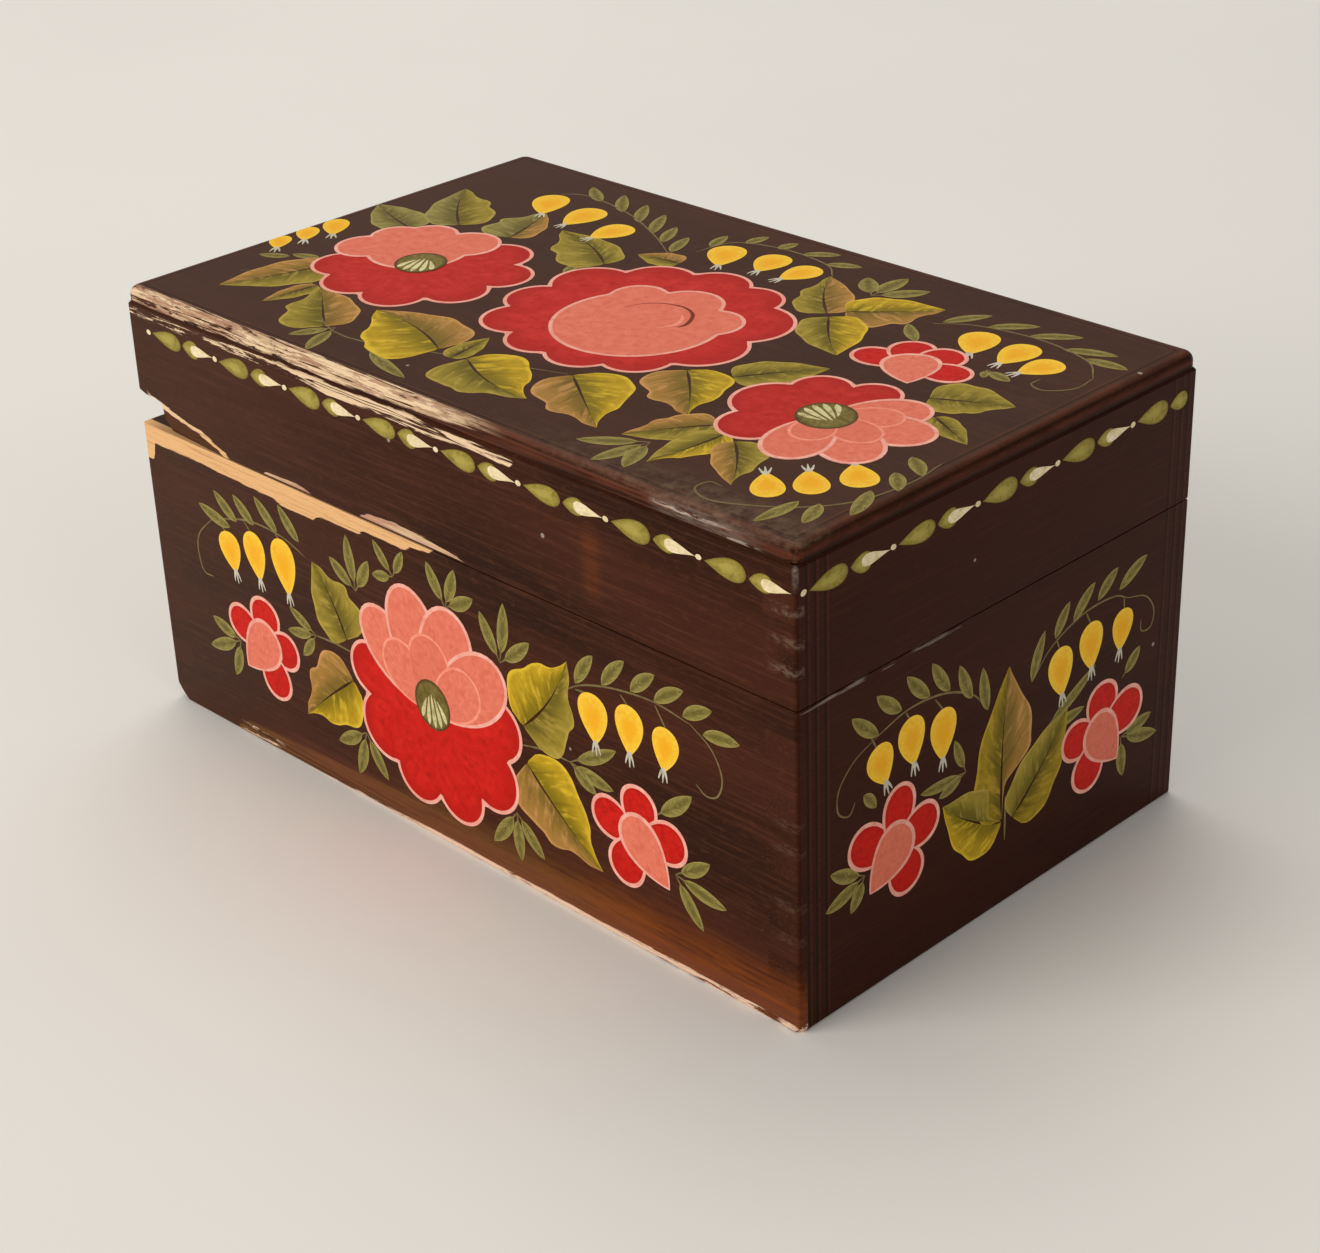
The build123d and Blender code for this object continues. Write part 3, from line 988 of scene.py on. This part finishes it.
def leaf(face, root, tip, left, right, bow=0.0, layer=2):
    """A leaf in two halves, left and right of its spine as seen from the root. A half is (greatest
    width from the line between root and tip, shape, paint). The spine bows to the left of that line
    by a share of its length, and a gap along it leaves the lacquer bare."""
    root, tip = Vector(root), Vector(tip)
    spine = bowed(root, tip, bow, leaf_steps)
    ahead = (tip - root).normalized()
    for sign, (width, shape, paint_name) in ((1, left), (-1, right)):
        side = turned(ahead) * sign
        rows, maps = [], []
        for i, point in enumerate(spine):
            share = i / leaf_steps
            gap = leaf_gap * min(1, share * 6 + 0.1) * max(0, 1 - share / 0.8) + 0.02
            near = point + side * gap
            line_point = root.lerp(tip, share)
            ripple = 1 + leaf_ripple * sin(share * 6 * pi + width)
            least = (near - line_point).dot(side) + 0.08
            reach = max(width * between(leaf_shapes[shape], share) * ripple, least)
            edge = line_point + (side - ahead * leaf_sweep * (1 - share)**3) * reach
            rows.append([near.lerp(edge, j / leaf_columns) for j in range(leaf_columns + 1)])
            maps.append([(share, j / leaf_columns) for j in range(leaf_columns + 1)])
        face.coat("leaves").grid(rows, maps, layer, paint_name)


def leaves(face, rows):
    for row in rows:
        leaf(face, *row)


def leaflet(face, root, tip, width, bow=0.06):
    """A small two-sided leaf made by one touch of the brush."""
    halves = []
    for i in range(leaflet_steps + 1):
        share = i / leaflet_steps
        half = width / 2 * (4 * share * (1 - share))**0.75 * (1.12 - 0.24 * share)
        halves.append(max(half, least_width))
    spine = bowed(Vector(root), Vector(tip), bow, leaflet_steps)
    face.coat("leaflets").band(spine, halves, (-1, -0.5, 0, 0.5, 1), leaflet_layer, "leaflet")


def leaflets(face, width, pairs):
    for root, tip in pairs:
        leaflet(face, root, tip, width)


def stem(face, points, width=0.5, layer=1):
    """A thin line that swells a little in its middle and thins out at its ends."""
    face.coat("stems").ribbon(
        smooth(points), lambda share: width * (0.35 + 0.65 * sin(pi * share)**0.5), layer, "stem"
    )


def sprig(face, width, root, *tips):
    """Leaflets that fan out from one root, with short stalks. The shorter ones are narrower."""
    root = Vector(root)
    for tip in tips:
        tip = Vector(tip)
        start = root.lerp(tip, sprig_stalk_share)
        bow = sprig_bow if (tip - root).x < 0 else -sprig_bow
        leaflet(face, start, tip, min(width, (tip - root).length * widest_sprig_leaflet), bow)
        stem(face, [root, start.lerp(tip, 0.3)], sprig_stalk_width)


def sprigs(face, rows):
    for row in rows:
        sprig(face, *row)


def spray(face, route, pairs, width=3.1):
    """A stem with leaflets along it, each given by its root and tip."""
    stem(face, route, stalk_width)
    leaflets(face, width, pairs)


def bud(face, top, tip, width, stalk=None):
    """A hanging bud: a yellow drop with a pale three-pointed mouth."""
    top, tip = Vector(top), Vector(tip)
    ahead = (tip - top).normalized()
    side = turned(ahead)
    face.coat("buds").fill(drop_outline(tip + ahead * 0.5, top, width, bud_pinch), bud_layer, "bud")
    for turn in (-1, 0, 1):
        end = tip + ahead * (mouth_reach - 0.5 * abs(turn)) + side * (mouth_spread * turn)
        spine = bowed(tip - ahead * 0.4, end, 0.12 * turn, 6)
        face.coat("bud_mouths").ribbon(
            spine, lambda share: 0.62 * (1.1 - share) + 0.16, mouth_layer, "grey"
        )
    if stalk:
        stem(face, [stalk, top + ahead * 0.4], stalk_width)


def buds(face, rows):
    for row in rows:
        bud(face, *row)


def eye(face, middle, radius, towards):
    """The dark middle of a flower, with pale strokes that fan towards one side of it."""
    middle = Vector(middle)
    ahead = Vector(towards).normalized()
    side = turned(ahead)
    round_edge = drop_outline(middle - ahead * radius, middle + ahead * radius, 1.9 * radius, 0.0)
    face.coat("flower_eyes").fill(round_edge, eye_layer, "eye")
    for i in range(eye_rays):
        turn = 2 * i / (eye_rays - 1) - 1
        start = middle - ahead * radius * (0.42 - 0.2 * abs(turn)) + side * radius * 0.28 * turn
        end = middle + ahead * radius * (0.93 - 0.32 * turn**2) + side * radius * 0.66 * turn
        spine = bowed(start, end, 0.08 * turn, 8)
        face.coat("flower_rays").ribbon(
            spine, lambda share: radius * 0.25 * (0.1 + share**0.8) * (1 - share**8), eye_layer + 1, "ray"
        )


def small_flower(face, middle, drop_tip, drop_width, rows):
    """Red petals behind one coral drop whose point hangs out. Petals are (tip, width)."""
    for i, (tip, width) in enumerate(rows):
        petal(face, middle, tip, width, "red", red_layer + i, red_pinch)
    middle, drop_tip = Vector(middle), Vector(drop_tip)
    far = middle + (middle - drop_tip).normalized() * drop_width * 0.5
    petal(face, drop_tip, far, drop_width, "coral", drop_layer)


# The ornament of the front: places are (distance from the left, height)

def paint_front(face):
    lobed(
        face, (96.5, 28.5),
        [(69.6, 36.9, 13.6), (72.4, 19.4, 17.2), (87, 8, 15.4), (106.6, 7.9, 15.4), (121.9, 20.4, 16.8),
         (123.9, 37.9, 15.2)],
        17.5, "red", 4,
    )
    open_petals(face, (96.6, 32), [
        ((75, 49.6), 15, 6), ((88.4, 59.6), 16.8, 7), ((105.4, 58.6), 16.8, 8), ((119.4, 49.4), 16, 9),
    ])
    open_petals(face, (96.6, 32.4), [
        ((82, 43.8), 12.6, 10), ((96, 50.2), 13.4, 11), ((111, 43.6), 12.4, 12),
    ], *fine_line)
    eye(face, (96.4, 33.6), 5.9, (0.1, -1))

    small_flower(
        face, (37.9, 27.2), (30.5, 19.2), 12.4,
        [((25.3, 31.8), 9.6), ((39.8, 39.4), 10.8), ((50.6, 28.6), 9.8), ((43.4, 14.6), 10.6)],
    )
    small_flower(
        face, (157.6, 26.4), (165.8, 18), 11.6,
        [((144.2, 29.2), 10), ((158, 38.7), 10.4), ((170.9, 30.2), 10.2), ((151.3, 14.4), 10.4)],
    )

    leaves(face, [
        ((68.5, 39.3), (58.8, 54.8), (7.2, "round", "dull"), (9.4, "scalloped", "dull"), -0.1),
        ((125, 39.6), (139, 59.3), (8.9, "hooked", "bright"), (10.6, "scalloped", "dull"), -0.13),
        ((69.4, 29.4), (51.6, 14.5), (8.8, "hooked", "bright"), (9.1, "scalloped", "brown"), -0.03),
        ((125.4, 30.8), (146.6, 13.9), (9.8, "hooked", "bright"), (10.8, "scalloped", "brown"), -0.06),
    ])

    buds(face, [
        ((27.8, 52.3), (29.9, 43), 7.8, (24.4, 54.6)),
        ((37.2, 55.2), (39, 43.8), 7.6, (35, 57.2)),
        ((47.8, 56.8), (49.2, 43.6), 8.4, (46.2, 57.6)),
        ((145.6, 54.8), (146.3, 43.9), 8.4, (141, 54)),
        ((156.2, 56), (155.9, 45.1), 7.8, (154, 57.6)),
        ((166.4, 54.8), (165.2, 45.2), 7.2, (163.4, 58.9)),
    ])

    spray(
        face, [(56.5, 55.2), (48.5, 57.6), (38, 57.8), (28.8, 55.6), (22.6, 53.4)],
        [((29.6, 53.8), (18.4, 56.4)), ((32.4, 56), (24.8, 61.4)), ((38.8, 57.2), (32, 62.6)),
         ((47.2, 58.2), (40, 64.6)), ((54.8, 58.2), (48.4, 65.2))],
    )
    stem(face, [(22.6, 53.4), (17.4, 48.6), (16, 44.2), (17.2, 39), (20.8, 38.6)], 0.4)
    spray(
        face, [(137, 52), (143, 55.6), (152, 58.2), (163, 59.4), (172.8, 58.2)],
        [((141.2, 55.4), (146.6, 63.4)), ((148.8, 57.8), (155.4, 65.4)), ((156.8, 59.4), (163.6, 65.4)),
         ((163.2, 59.6), (171.2, 64.8)), ((170.8, 59.2), (178.6, 63.2)), ((176, 57.2), (185.6, 58.6))],
    )
    stem(face, [(172.8, 58.2), (178.2, 54.8), (180.8, 49.6), (179.6, 45.2), (176.6, 44), (173.8, 45.6)], 0.4)

    sprigs(face, [
        (3.3, (73.4, 52.6), (71.6, 65.4), (65.2, 58.2), (78.4, 61.4)),
        (2.6, (86.4, 60.4), (80.8, 67.2), (90.2, 67.4), (79.6, 58.8)),
        (3.3, (102.8, 58.8), (97.8, 67.8), (106.4, 68.6), (111.8, 63.8)),
        (3.3, (119, 51.8), (113.6, 61.8), (121, 66), (128.2, 59.6)),
        (2.7, (57.6, 36.4), (48.8, 40.6), (47.4, 34.4), (52.2, 29.6)),
        (3.3, (28.6, 24.8), (18.6, 27.8), (16.4, 19.6), (25.2, 14.8)),
        (3.4, (72.4, 17.6), (62.2, 11.8), (68.6, 5.8), (78.8, 8)),
        (3.4, (121.2, 17.4), (113.2, 7.2), (121.8, 5.8), (129, 9.2)),
        (3.3, (167.4, 22.4), (177, 28.8), (181.2, 20.2), (174.8, 12.4)),
        (3.2, (138.4, 36.4), (152, 44.2), (145.8, 31.8), (150.8, 34.6)),
        (3.6, (162.2, 33.6), (172.6, 42.2)),
    ])
    stem(face, [(70.4, 36.6), (64, 36.8), (57.6, 36.4)], 0.5)
    stem(face, [(123.4, 34.6), (131, 36.2), (138.4, 36.4)], 0.5)


# The ornament of an end: places are (distance from the left of the face, height)

def paint_end(face):
    leaves(face, [
        ((60.3, 20.7), (61.5, 55.2), (9.2, "round", "gold"), (8.6, "late", "brown"), 0.05),
        ((64, 19.6), (81, 37.9), (6.3, "round", "dull"), (9, "round", "gold"), -0.09),
        ((60.3, 19.9), (41.7, 32.1), (8.8, "round", "bright"), (5.4, "late", "dull"), 0.12, 2.4),
    ])

    small_flower(
        face, (27.2, 29.4), (20, 22.4), 12,
        [((14.2, 36.2), 10.2), ((29.4, 43.4), 9.8), ((40.6, 32.4), 10), ((33.2, 18), 10.6)],
    )
    small_flower(
        face, (92.6, 26.6), (99.2, 17.8), 11.4,
        [((79.6, 29.4), 9.8), ((93.2, 39), 10.8), ((107.2, 30.2), 10.8), ((86.4, 14.8), 10.8)],
    )

    buds(face, [
        ((21.8, 54.4), (24.6, 45.4), 7.6, (20.2, 57.2)),
        ((31.4, 56.6), (32.8, 46), 7.8, (30.2, 58.2)),
        ((41.4, 54.4), (41.4, 43.2), 7.8, (38.8, 57.4)),
        ((77.6, 52.8), (79, 41.6), 8, (76.4, 55.4)),
        ((87.8, 54.6), (88.6, 43.8), 7.8, (86, 57.4)),
        ((99.2, 53.4), (98.2, 44.2), 7, (98.8, 56.2)),
    ])

    spray(
        face, [(54.8, 48.6), (50, 53.8), (41.4, 57.6), (31, 58.6), (21.4, 56.4)],
        [((22.4, 56.8), (14.8, 63.4)), ((29, 59.2), (21.8, 65.2)), ((37.2, 58.8), (30.4, 65.8)),
         ((43.2, 57.6), (37.8, 65.6)), ((50, 53), (46, 61.8)), ((55, 48.2), (53.2, 58.4))],
    )
    stem(face, [(21.4, 56.4), (15.4, 54), (11.2, 49.6), (11, 44.8), (14, 42.8), (15.8, 45)], 0.4)
    spray(
        face, [(68.8, 48.6), (75, 54.2), (85, 57.6), (95, 57.6), (100.2, 55.4)],
        [((68.8, 48.8), (72.6, 58.8)), ((76, 55.6), (80.4, 62.2)), ((81.8, 57), (88.6, 63.4)),
         ((89.8, 58.8), (96.2, 63.8)), ((97, 58.4), (106.2, 63))],
    )
    curl = [(100.2, 55.4), (106.4, 53.4), (109.6, 49.2), (108.8, 45.4), (105.6, 45.6), (105.2, 48.6)]
    stem(face, curl, 0.4)

    sprigs(face, [
        (3.3, (18.6, 27.4), (8.8, 32.2), (7.4, 24.2), (14.6, 20.6)),
        (3.3, (100.2, 22.4), (113.2, 18.4), (101.6, 12.4), (110.8, 24)),
        (2.6, (48.6, 37), (45, 45.6), (34.8, 38), (40.4, 34.6)),
        (2.8, (73, 35.2), (90, 44), (86.8, 35.6)),
        (3.2, (99.6, 36.8), (105.4, 42.2)),
    ])
    leaflet(face, (18.2, 45.4), (21.8, 41.2), 2.6)
    stem(face, [(61.6, 15.2), (61.4, 25.6)], 0.6)


# The ornament of the lid's top: places are (distance from the left, distance from the front)

def paint_top(face):
    rose = (101.6, 60.2)
    arms = (
        (-138, 34.6, 16.5), (-165, 33.4, 16.5), (162, 33.6, 19.5), (127, 30.8, 18.5), (93, 31.4, 17.5),
        (64, 31.8, 16), (31, 33, 22), (-11, 31.8, 21), (-47, 30.4, 17), (-78, 30.2, 17.5),
        (-109, 31.2, 16.5),
    )
    lobes = [
        (rose[0] + reach * cos(radians(angle)), rose[1] + reach * sin(radians(angle)), width)
        for angle, reach, width in arms
    ]
    lobed(face, rose, lobes, 24, "crimson", 4)
    lobed(
        face, (103.2, 57.2), [(87.6, 73, 13.4), (104, 79.6, 17), (120.4, 72, 14.6)], 18.7, "coral", 6
    )
    curl = [(94.6, 61.6), (96, 65.4), (99.4, 68.6), (104.6, 69.8), (109, 67.8), (111.6, 63.4), (111.4, 60.6)]
    face.coat("rose_curl").ribbon(
        smooth(curl), lambda share: 1.5 * share**1.6 * (1 - share**7) + 0.12, 8, "curl"
    )
    light = [(107, 66.6), (109.4, 64), (109.9, 60.8), (108.4, 57.8)]
    face.coat("rose_curl").ribbon(smooth(light), lambda share: sin(pi * share)**0.7, 8.5, "salmon")

    left_eye = (40.3, 51.4)
    lobed(
        face, left_eye,
        [(21.8, 34.9, 15), (36.5, 27, 16.6), (54.6, 28.6, 16), (66.4, 42.6, 15.6), (67, 60, 15.2),
         (54.8, 72.2, 15.6)],
        18.5, "crimson", 4,
    )
    lobed(
        face, (33.5, 56.5),
        [(15.8, 47.2, 14), (16.2, 61.5, 13), (24, 70.4, 13.5), (42.8, 73.2, 15.5), (41, 48.6, 11)],
        11.8, "coral", 6,
    )
    eye(face, left_eye, 6.2, (0.5, -1))

    right_eye = (165.7, 46.4)
    lobed(
        face, right_eye,
        [(165.9, 66, 12.6), (151, 60.6, 13.8), (143.9, 44.8, 18.6), (153.1, 28.4, 15)],
        14, "crimson", 4,
    )
    open_petals(face, right_eye, [
        ((179.6, 62), 13.4, 6), ((188.6, 51.6), 14, 7), ((185.6, 34.6), 14, 8), ((171.8, 25.8), 14, 9),
    ])
    open_petals(face, right_eye, [
        ((178.2, 55.4), 9.8, 10), ((180.8, 43.4), 9.8, 11), ((170, 35), 9.4, 12),
    ], *fine_line)
    eye(face, right_eye, 6.4, (-0.9, 0.35))

    small_flower(
        face, (161.6, 76.2), (167, 68.8), 12.6,
        [((147.4, 75.2), 9.6), ((153.4, 86.6), 10.4), ((165.6, 88.2), 10.4), ((175, 79), 9.6)],
    )

    buds(face, [
        ((29.6, 102.8), (36.6, 91.6), 8.8), ((45.2, 102.4), (46.2, 89.8), 9),
        ((59.2, 98.6), (57.6, 87.4), 8.6), ((86, 104), (92.2, 93), 8.8),
        ((98.8, 106.8), (101.2, 96), 8.2), ((110.4, 106), (108.4, 95.6), 7.8),
        ((161.6, 99.8), (166.4, 88.8), 8.6), ((173.6, 100.4), (174.2, 88.6), 8),
        ((183.6, 96.8), (180.2, 87.2), 7.8), ((192.2, 26.6), (184.6, 33.2), 7.4),
        ((187.4, 18.6), (180, 25.6), 6.9), ((182.2, 12.4), (174.8, 19.6), 6.6),
        ((2.6, 58.4), (9.8, 50.8), 6.2), ((1.8, 50.6), (7.8, 44.2), 5.4),
        ((1.6, 42.8), (7, 36.8), 5.2),
    ])

    # Leaves, from the left end to the right
    leaves(face, [
        ((20.4, 65.2), (1.6, 71.4), (6.4, "round", "leaflet"), (6.4, "round", "leaflet"), 0.06),
        ((27.5, 74), (9.5, 92), (8.4, "round", "leaflet"), (7.9, "scalloped", "dull"), 0.09),
        ((43, 75.8), (37, 92.6), (9, "scalloped", "leaflet"), (5.2, "round", "brown"), -0.06),
        ((72.2, 77.4), (49, 86.6), (8.4, "scalloped", "dull"), (7, "round", "dull"), -0.14),
        ((84.6, 88.4), (73.6, 86.6), (3.6, "round", "dull"), (4.6, "round", "brown"), -0.05),
        ((25.2, 38.2), (16.2, 13.8), (8.6, "round", "dull"), (7, "round", "brown"), 0.04),
        ((33.2, 27.4), (31.6, 13.8), (3.4, "round", "dull"), (3, "round", "brown")),
        ((53.6, 13.2), (35, 27.4), (9.2, "scalloped", "dull"), (7.7, "round", "brown")),
        ((82, 20.5), (55.1, 26.5), (12.4, "scalloped", "bright"), (11, "round", "brown"), -0.14),
        ((87.6, 19), (85.6, 31.4), (3.6, "round", "dull"), (3, "round", "dull")),
        ((90.9, 20.7), (115.2, 14.6), (9.6, "hooked", "bright"), (11.2, "scalloped", "dull"), -0.16),
        ((113.6, 28.7), (135.9, 13.8), (11.2, "hooked", "bright"), (9.2, "scalloped", "brown")),
        ((129.2, 45.5), (145.1, 29.3), (9.2, "hooked", "bright"), (9.2, "scalloped", "brown"), 0.05),
        ((138.8, 49), (150.4, 64.6), (6.6, "round", "dull"), (5.6, "round", "dull"), 0.04),
        ((152.6, 29.8), (141.8, 14.8), (5.8, "round", "dull"), (6.6, "scalloped", "brown"), -0.04),
        ((156.8, 27.6), (154.4, 9), (5.4, "hooked", "bright"), (4.6, "round", "dull"), 0.05),
        ((160.7, 26.2), (173.4, 11.8), (6.5, "hooked", "dull"), (4.4, "round", "brown"), 0.08),
        ((129.6, 87), (115.7, 103.7), (7.5, "scalloped", "dull"), (5.6, "round", "brown"), 0.1),
        ((132.1, 90.2), (147.4, 104.2), (7.6, "round", "bright"), (9, "scalloped", "brown"), -0.06),
        ((131.5, 85.5), (146.5, 70.8), (7.4, "round", "bright"), (7.3, "round", "dull"), -0.07),
        ((175.1, 66), (190.3, 73.4), (8.6, "round", "dull"), (6.4, "scalloped", "dull"), 0.04),
        ((181.8, 59.6), (194.4, 53.6), (3.1, "round", "dull"), (3.2, "round", "dull")),
    ])

    sprigs(face, [
        (4.4, (130.1, 100.6), (122.4, 108.4), (129.6, 113.4), (138.2, 110.4)),
        (3.8, (148.6, 15.8), (136.8, 7.6), (145.8, 2.8), (153, 4.4)),
        (3.4, (56.2, 14.2), (51.4, 5.4), (61.2, 2.4)),
        (3.2, (69.2, 11.2), (88.6, 5.8)),
        (3, (174.4, 84.4), (181.6, 82.6), (176.4, 80.8)),
        (3, (155.4, 85.8), (146.4, 93.4)),
        (2.6, (70.2, 66.4), (67.6, 74)),
    ])
    leaflets(face, 2.8, [((19.6, 39.1), (13.2, 36.6)), ((13.8, 35.3), (7.2, 31.7))])

    spray(
        face, [(78.2, 91.4), (67.2, 98), (52, 104.6), (36.4, 107.2), (29.8, 104.2)],
        [((41.2, 106.4), (32.2, 112.4)), ((50.4, 104.4), (42.2, 113.2)), ((58.4, 101.8), (51.4, 111.6)),
         ((66.2, 98.4), (59.6, 109.4)), ((72.2, 95.8), (67.6, 105)), ((78.2, 92.4), (74.6, 101.8))],
        width=3.2,
    )
    spray(
        face, [(82.4, 96.2), (84.8, 106), (96.8, 110), (110.2, 108.6), (116, 104)],
        [((82.6, 100.6), (80.6, 108.2)), ((87.2, 107.2), (88.4, 113.6)), ((95.2, 109.2), (96.4, 114.6)),
         ((101.8, 110.2), (108.8, 115)), ((110, 108.8), (117.4, 112.2))],
        width=3,
    )
    spray(
        face, [(150.2, 96.8), (158.6, 101.8), (173.2, 103.8), (186.8, 100.8), (193, 94.4)],
        [((151.4, 98.6), (157, 108)), ((160.2, 102.4), (168.4, 109.4)), ((169.8, 103.8), (178.8, 110.2)),
         ((179.4, 102.6), (190, 106.6)), ((185.6, 101.2), (195.6, 102.2))],
        width=3.2,
    )
    stem(face, [(193, 94.4), (193.4, 88), (189.4, 83.4), (185.6, 84.2), (185.4, 87.4)], 0.45)
    leaflets(face, 3.2, [
        ((190.2, 42.6), (197.2, 37.4)), ((192.4, 35.4), (198, 29.6)), ((194.2, 26.6), (198.2, 16.4)),
        ((191, 16.4), (194, 8.4)), ((187.4, 14.8), (186.8, 3.4)),
    ])
    stem(face, [
        (196.4, 44), (197.4, 34), (195.4, 22), (189.6, 13.4), (181.6, 7.6), (174.6, 4.6), (169.4, 6.4),
        (169.4, 10.2), (172.6, 10.4),
    ])
    stem(face, [(12.2, 22.4), (26, 30), (57.2, 12.6), (84.6, 19.2), (112.4, 28.6)], 0.4, 0.8)


# The string of drops round the lid

string_height = 94.4
string_pitch = 24.15
string_margin = 0.9
string_tilt = 0.25
# One length of the string, with its places along it: group, paint, layer, root, tip, width, pinch
string_drops = [
    ("olive_drops", "olive", 2, 0.0, 10.4, 4.4, 0.6),
    ("olive_drops", "olive", 2, 11.1, 17.0, 4.0, 0.35),
    ("cream_drops", "cream", 3, 22.2, 14.0, 2.5, 1.2),
    ("cream_drops", "cream", 3, 22.0, 23.5, 1.2, 0.0),
]


def paint_string(face, width, first):
    """Olive drops with, between them, a small leaf, a cream drop and a dot. The first one starts at
    the first place, and a stroke that the corner would cut by much is left out."""
    for i in range(-1, ceil(width / string_pitch) + 1):
        at = first + i * string_pitch
        for group, paint_name, layer, root, tip, size, pinch in string_drops:
            root, tip = at + root, at + tip
            kept = [min(max(end, string_margin), width - string_margin) for end in (root, tip)]
            if abs(kept[1] - kept[0]) < 0.75 * abs(tip - root):
                continue
            tilt = random.uniform(-string_tilt, string_tilt)
            outline = drop_outline(
                (kept[0], string_height - tilt), (kept[1], string_height + tilt),
                size * random.uniform(0.92, 1.06), pinch, drop_segments,
            )
            face.coat(group).fill(outline, layer, paint_name)


# Where each side starts, which way it runs, how wide it is and where its string of drops starts
sides = {
    "front": ((left_x, front_y), (1, 0, 0), length, 8.6),
    "right": ((right_x, front_y), (0, 1, 0), depth, 3.4),
    "back": ((right_x, back_y), (-1, 0, 0), length, 8.6),
    "left": ((left_x, back_y), (0, -1, 0), depth, 3.4),
}


def side_face(name, body, side):
    start, run = sides[side][:2]
    return Face(name, body, (*start, floor_z), run, (0, 0, 1))


def paint_box():
    """Paints the front, both ends, the top and the string of drops round the lid. The order of the strokes
    sets their tones.
    """
    front = side_face("front", "base", "front")
    right_end = side_face("right_end", "base", "right")
    left_end = side_face("left_end", "base", "left")
    top = Face("top", "lid", (left_x, front_y, top_z), (1, 0, 0), (0, 1, 0), (length, depth), top_edge_round)
    paint_front(front)
    paint_end(right_end)
    paint_end(left_end)
    paint_top(top)
    lid_faces = []
    for side, (_, _, width, first) in sides.items():
        face = side_face(f"lid_{side}", "lid", side)
        paint_string(face, width, first)
        lid_faces.append(face)
    for face in (front, right_end, left_end, top, *lid_faces):
        face.hang()


# Materials of the carried nodes

def dress_nodes():
    """Gives each node its wood or brass. The grain runs along the board."""
    along_x = lacquered_wood("lacquer_along_x", "x")
    along_y = lacquered_wood("lacquer_along_y", "y")
    hinge_brass = brass("hinge_brass", "b48a42", 0.38)
    screw_brass = brass("screw_brass", "a8843c", 0.42)
    for node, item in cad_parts.items():
        if "screws" in node:
            material = screw_brass
        elif node.startswith("hinge"):
            material = hinge_brass
        elif "left" in node or "right" in node:
            material = along_y
        else:
            material = along_x
        for slot in item.material_slots:
            slot.material = material


# Floor, light and camera

def floor_material():
    shader = Shader("pale_floor")
    cloud = shader.place_mm().noise(scale=0.004, detail=4.0)
    base = shader.layered(floor_grey, (cloud, floor_white))
    return shader.finish(base, 0.75, Specular_IOR_Level=0.2)


def make_floor():
    mesh = bpy.data.meshes.new("floor")
    spots = [(-1, -1), (1, -1), (1, 1), (-1, 1)]
    mesh.from_pydata([(x * floor_reach, y * floor_reach, floor_z) for x, y in spots], [], [(0, 1, 2, 3)])
    mesh.materials.append(floor_material())
    floor = bpy.data.objects.new("floor", mesh)
    bpy.context.scene.collection.objects.link(floor)


def softbox(name, place, size, watts, tint):
    lamp = bpy.data.lights.new(name, "AREA")
    lamp.shape = "RECTANGLE"
    lamp.size, lamp.size_y = size
    lamp.energy = watts
    lamp.color = colour(tint)[:3]
    item = bpy.data.objects.new(name, lamp)
    item.location = place
    aim = Vector(lamp_target) - Vector(place)
    item.rotation_mode = "QUATERNION"
    item.rotation_quaternion = aim.to_track_quat("-Z", "Y")
    bpy.context.scene.collection.objects.link(item)


def make_light():
    for name, lamp in lamps.items():
        softbox(name, *lamp)
    world = bpy.data.worlds.new("studio")
    bpy.context.scene.world = world
    world.use_nodes = True
    background = world.node_tree.nodes["Background"]
    background.inputs["Color"].default_value = studio_white
    background.inputs["Strength"].default_value = world_strength


def make_camera():
    data = bpy.data.cameras.new("camera")
    data.lens = camera_lens
    data.sensor_width = sensor_width
    data.sensor_fit = "HORIZONTAL"
    data.clip_start = 0.01
    camera = bpy.data.objects.new("camera", data)
    place = Vector(camera_place) * MM
    aim = Vector(camera_target) * MM - place
    turn = aim.to_track_quat("-Z", "Y").to_matrix().to_4x4()
    camera.matrix_world = Matrix.Translation(place) @ turn @ Matrix.Rotation(radians(camera_roll), 4, "Z")
    bpy.context.scene.collection.objects.link(camera)
    bpy.context.scene.camera = camera


paint_box()
dress_nodes()
make_floor()
make_light()
make_camera()
bpy.context.scene.view_settings.view_transform = "Standard"
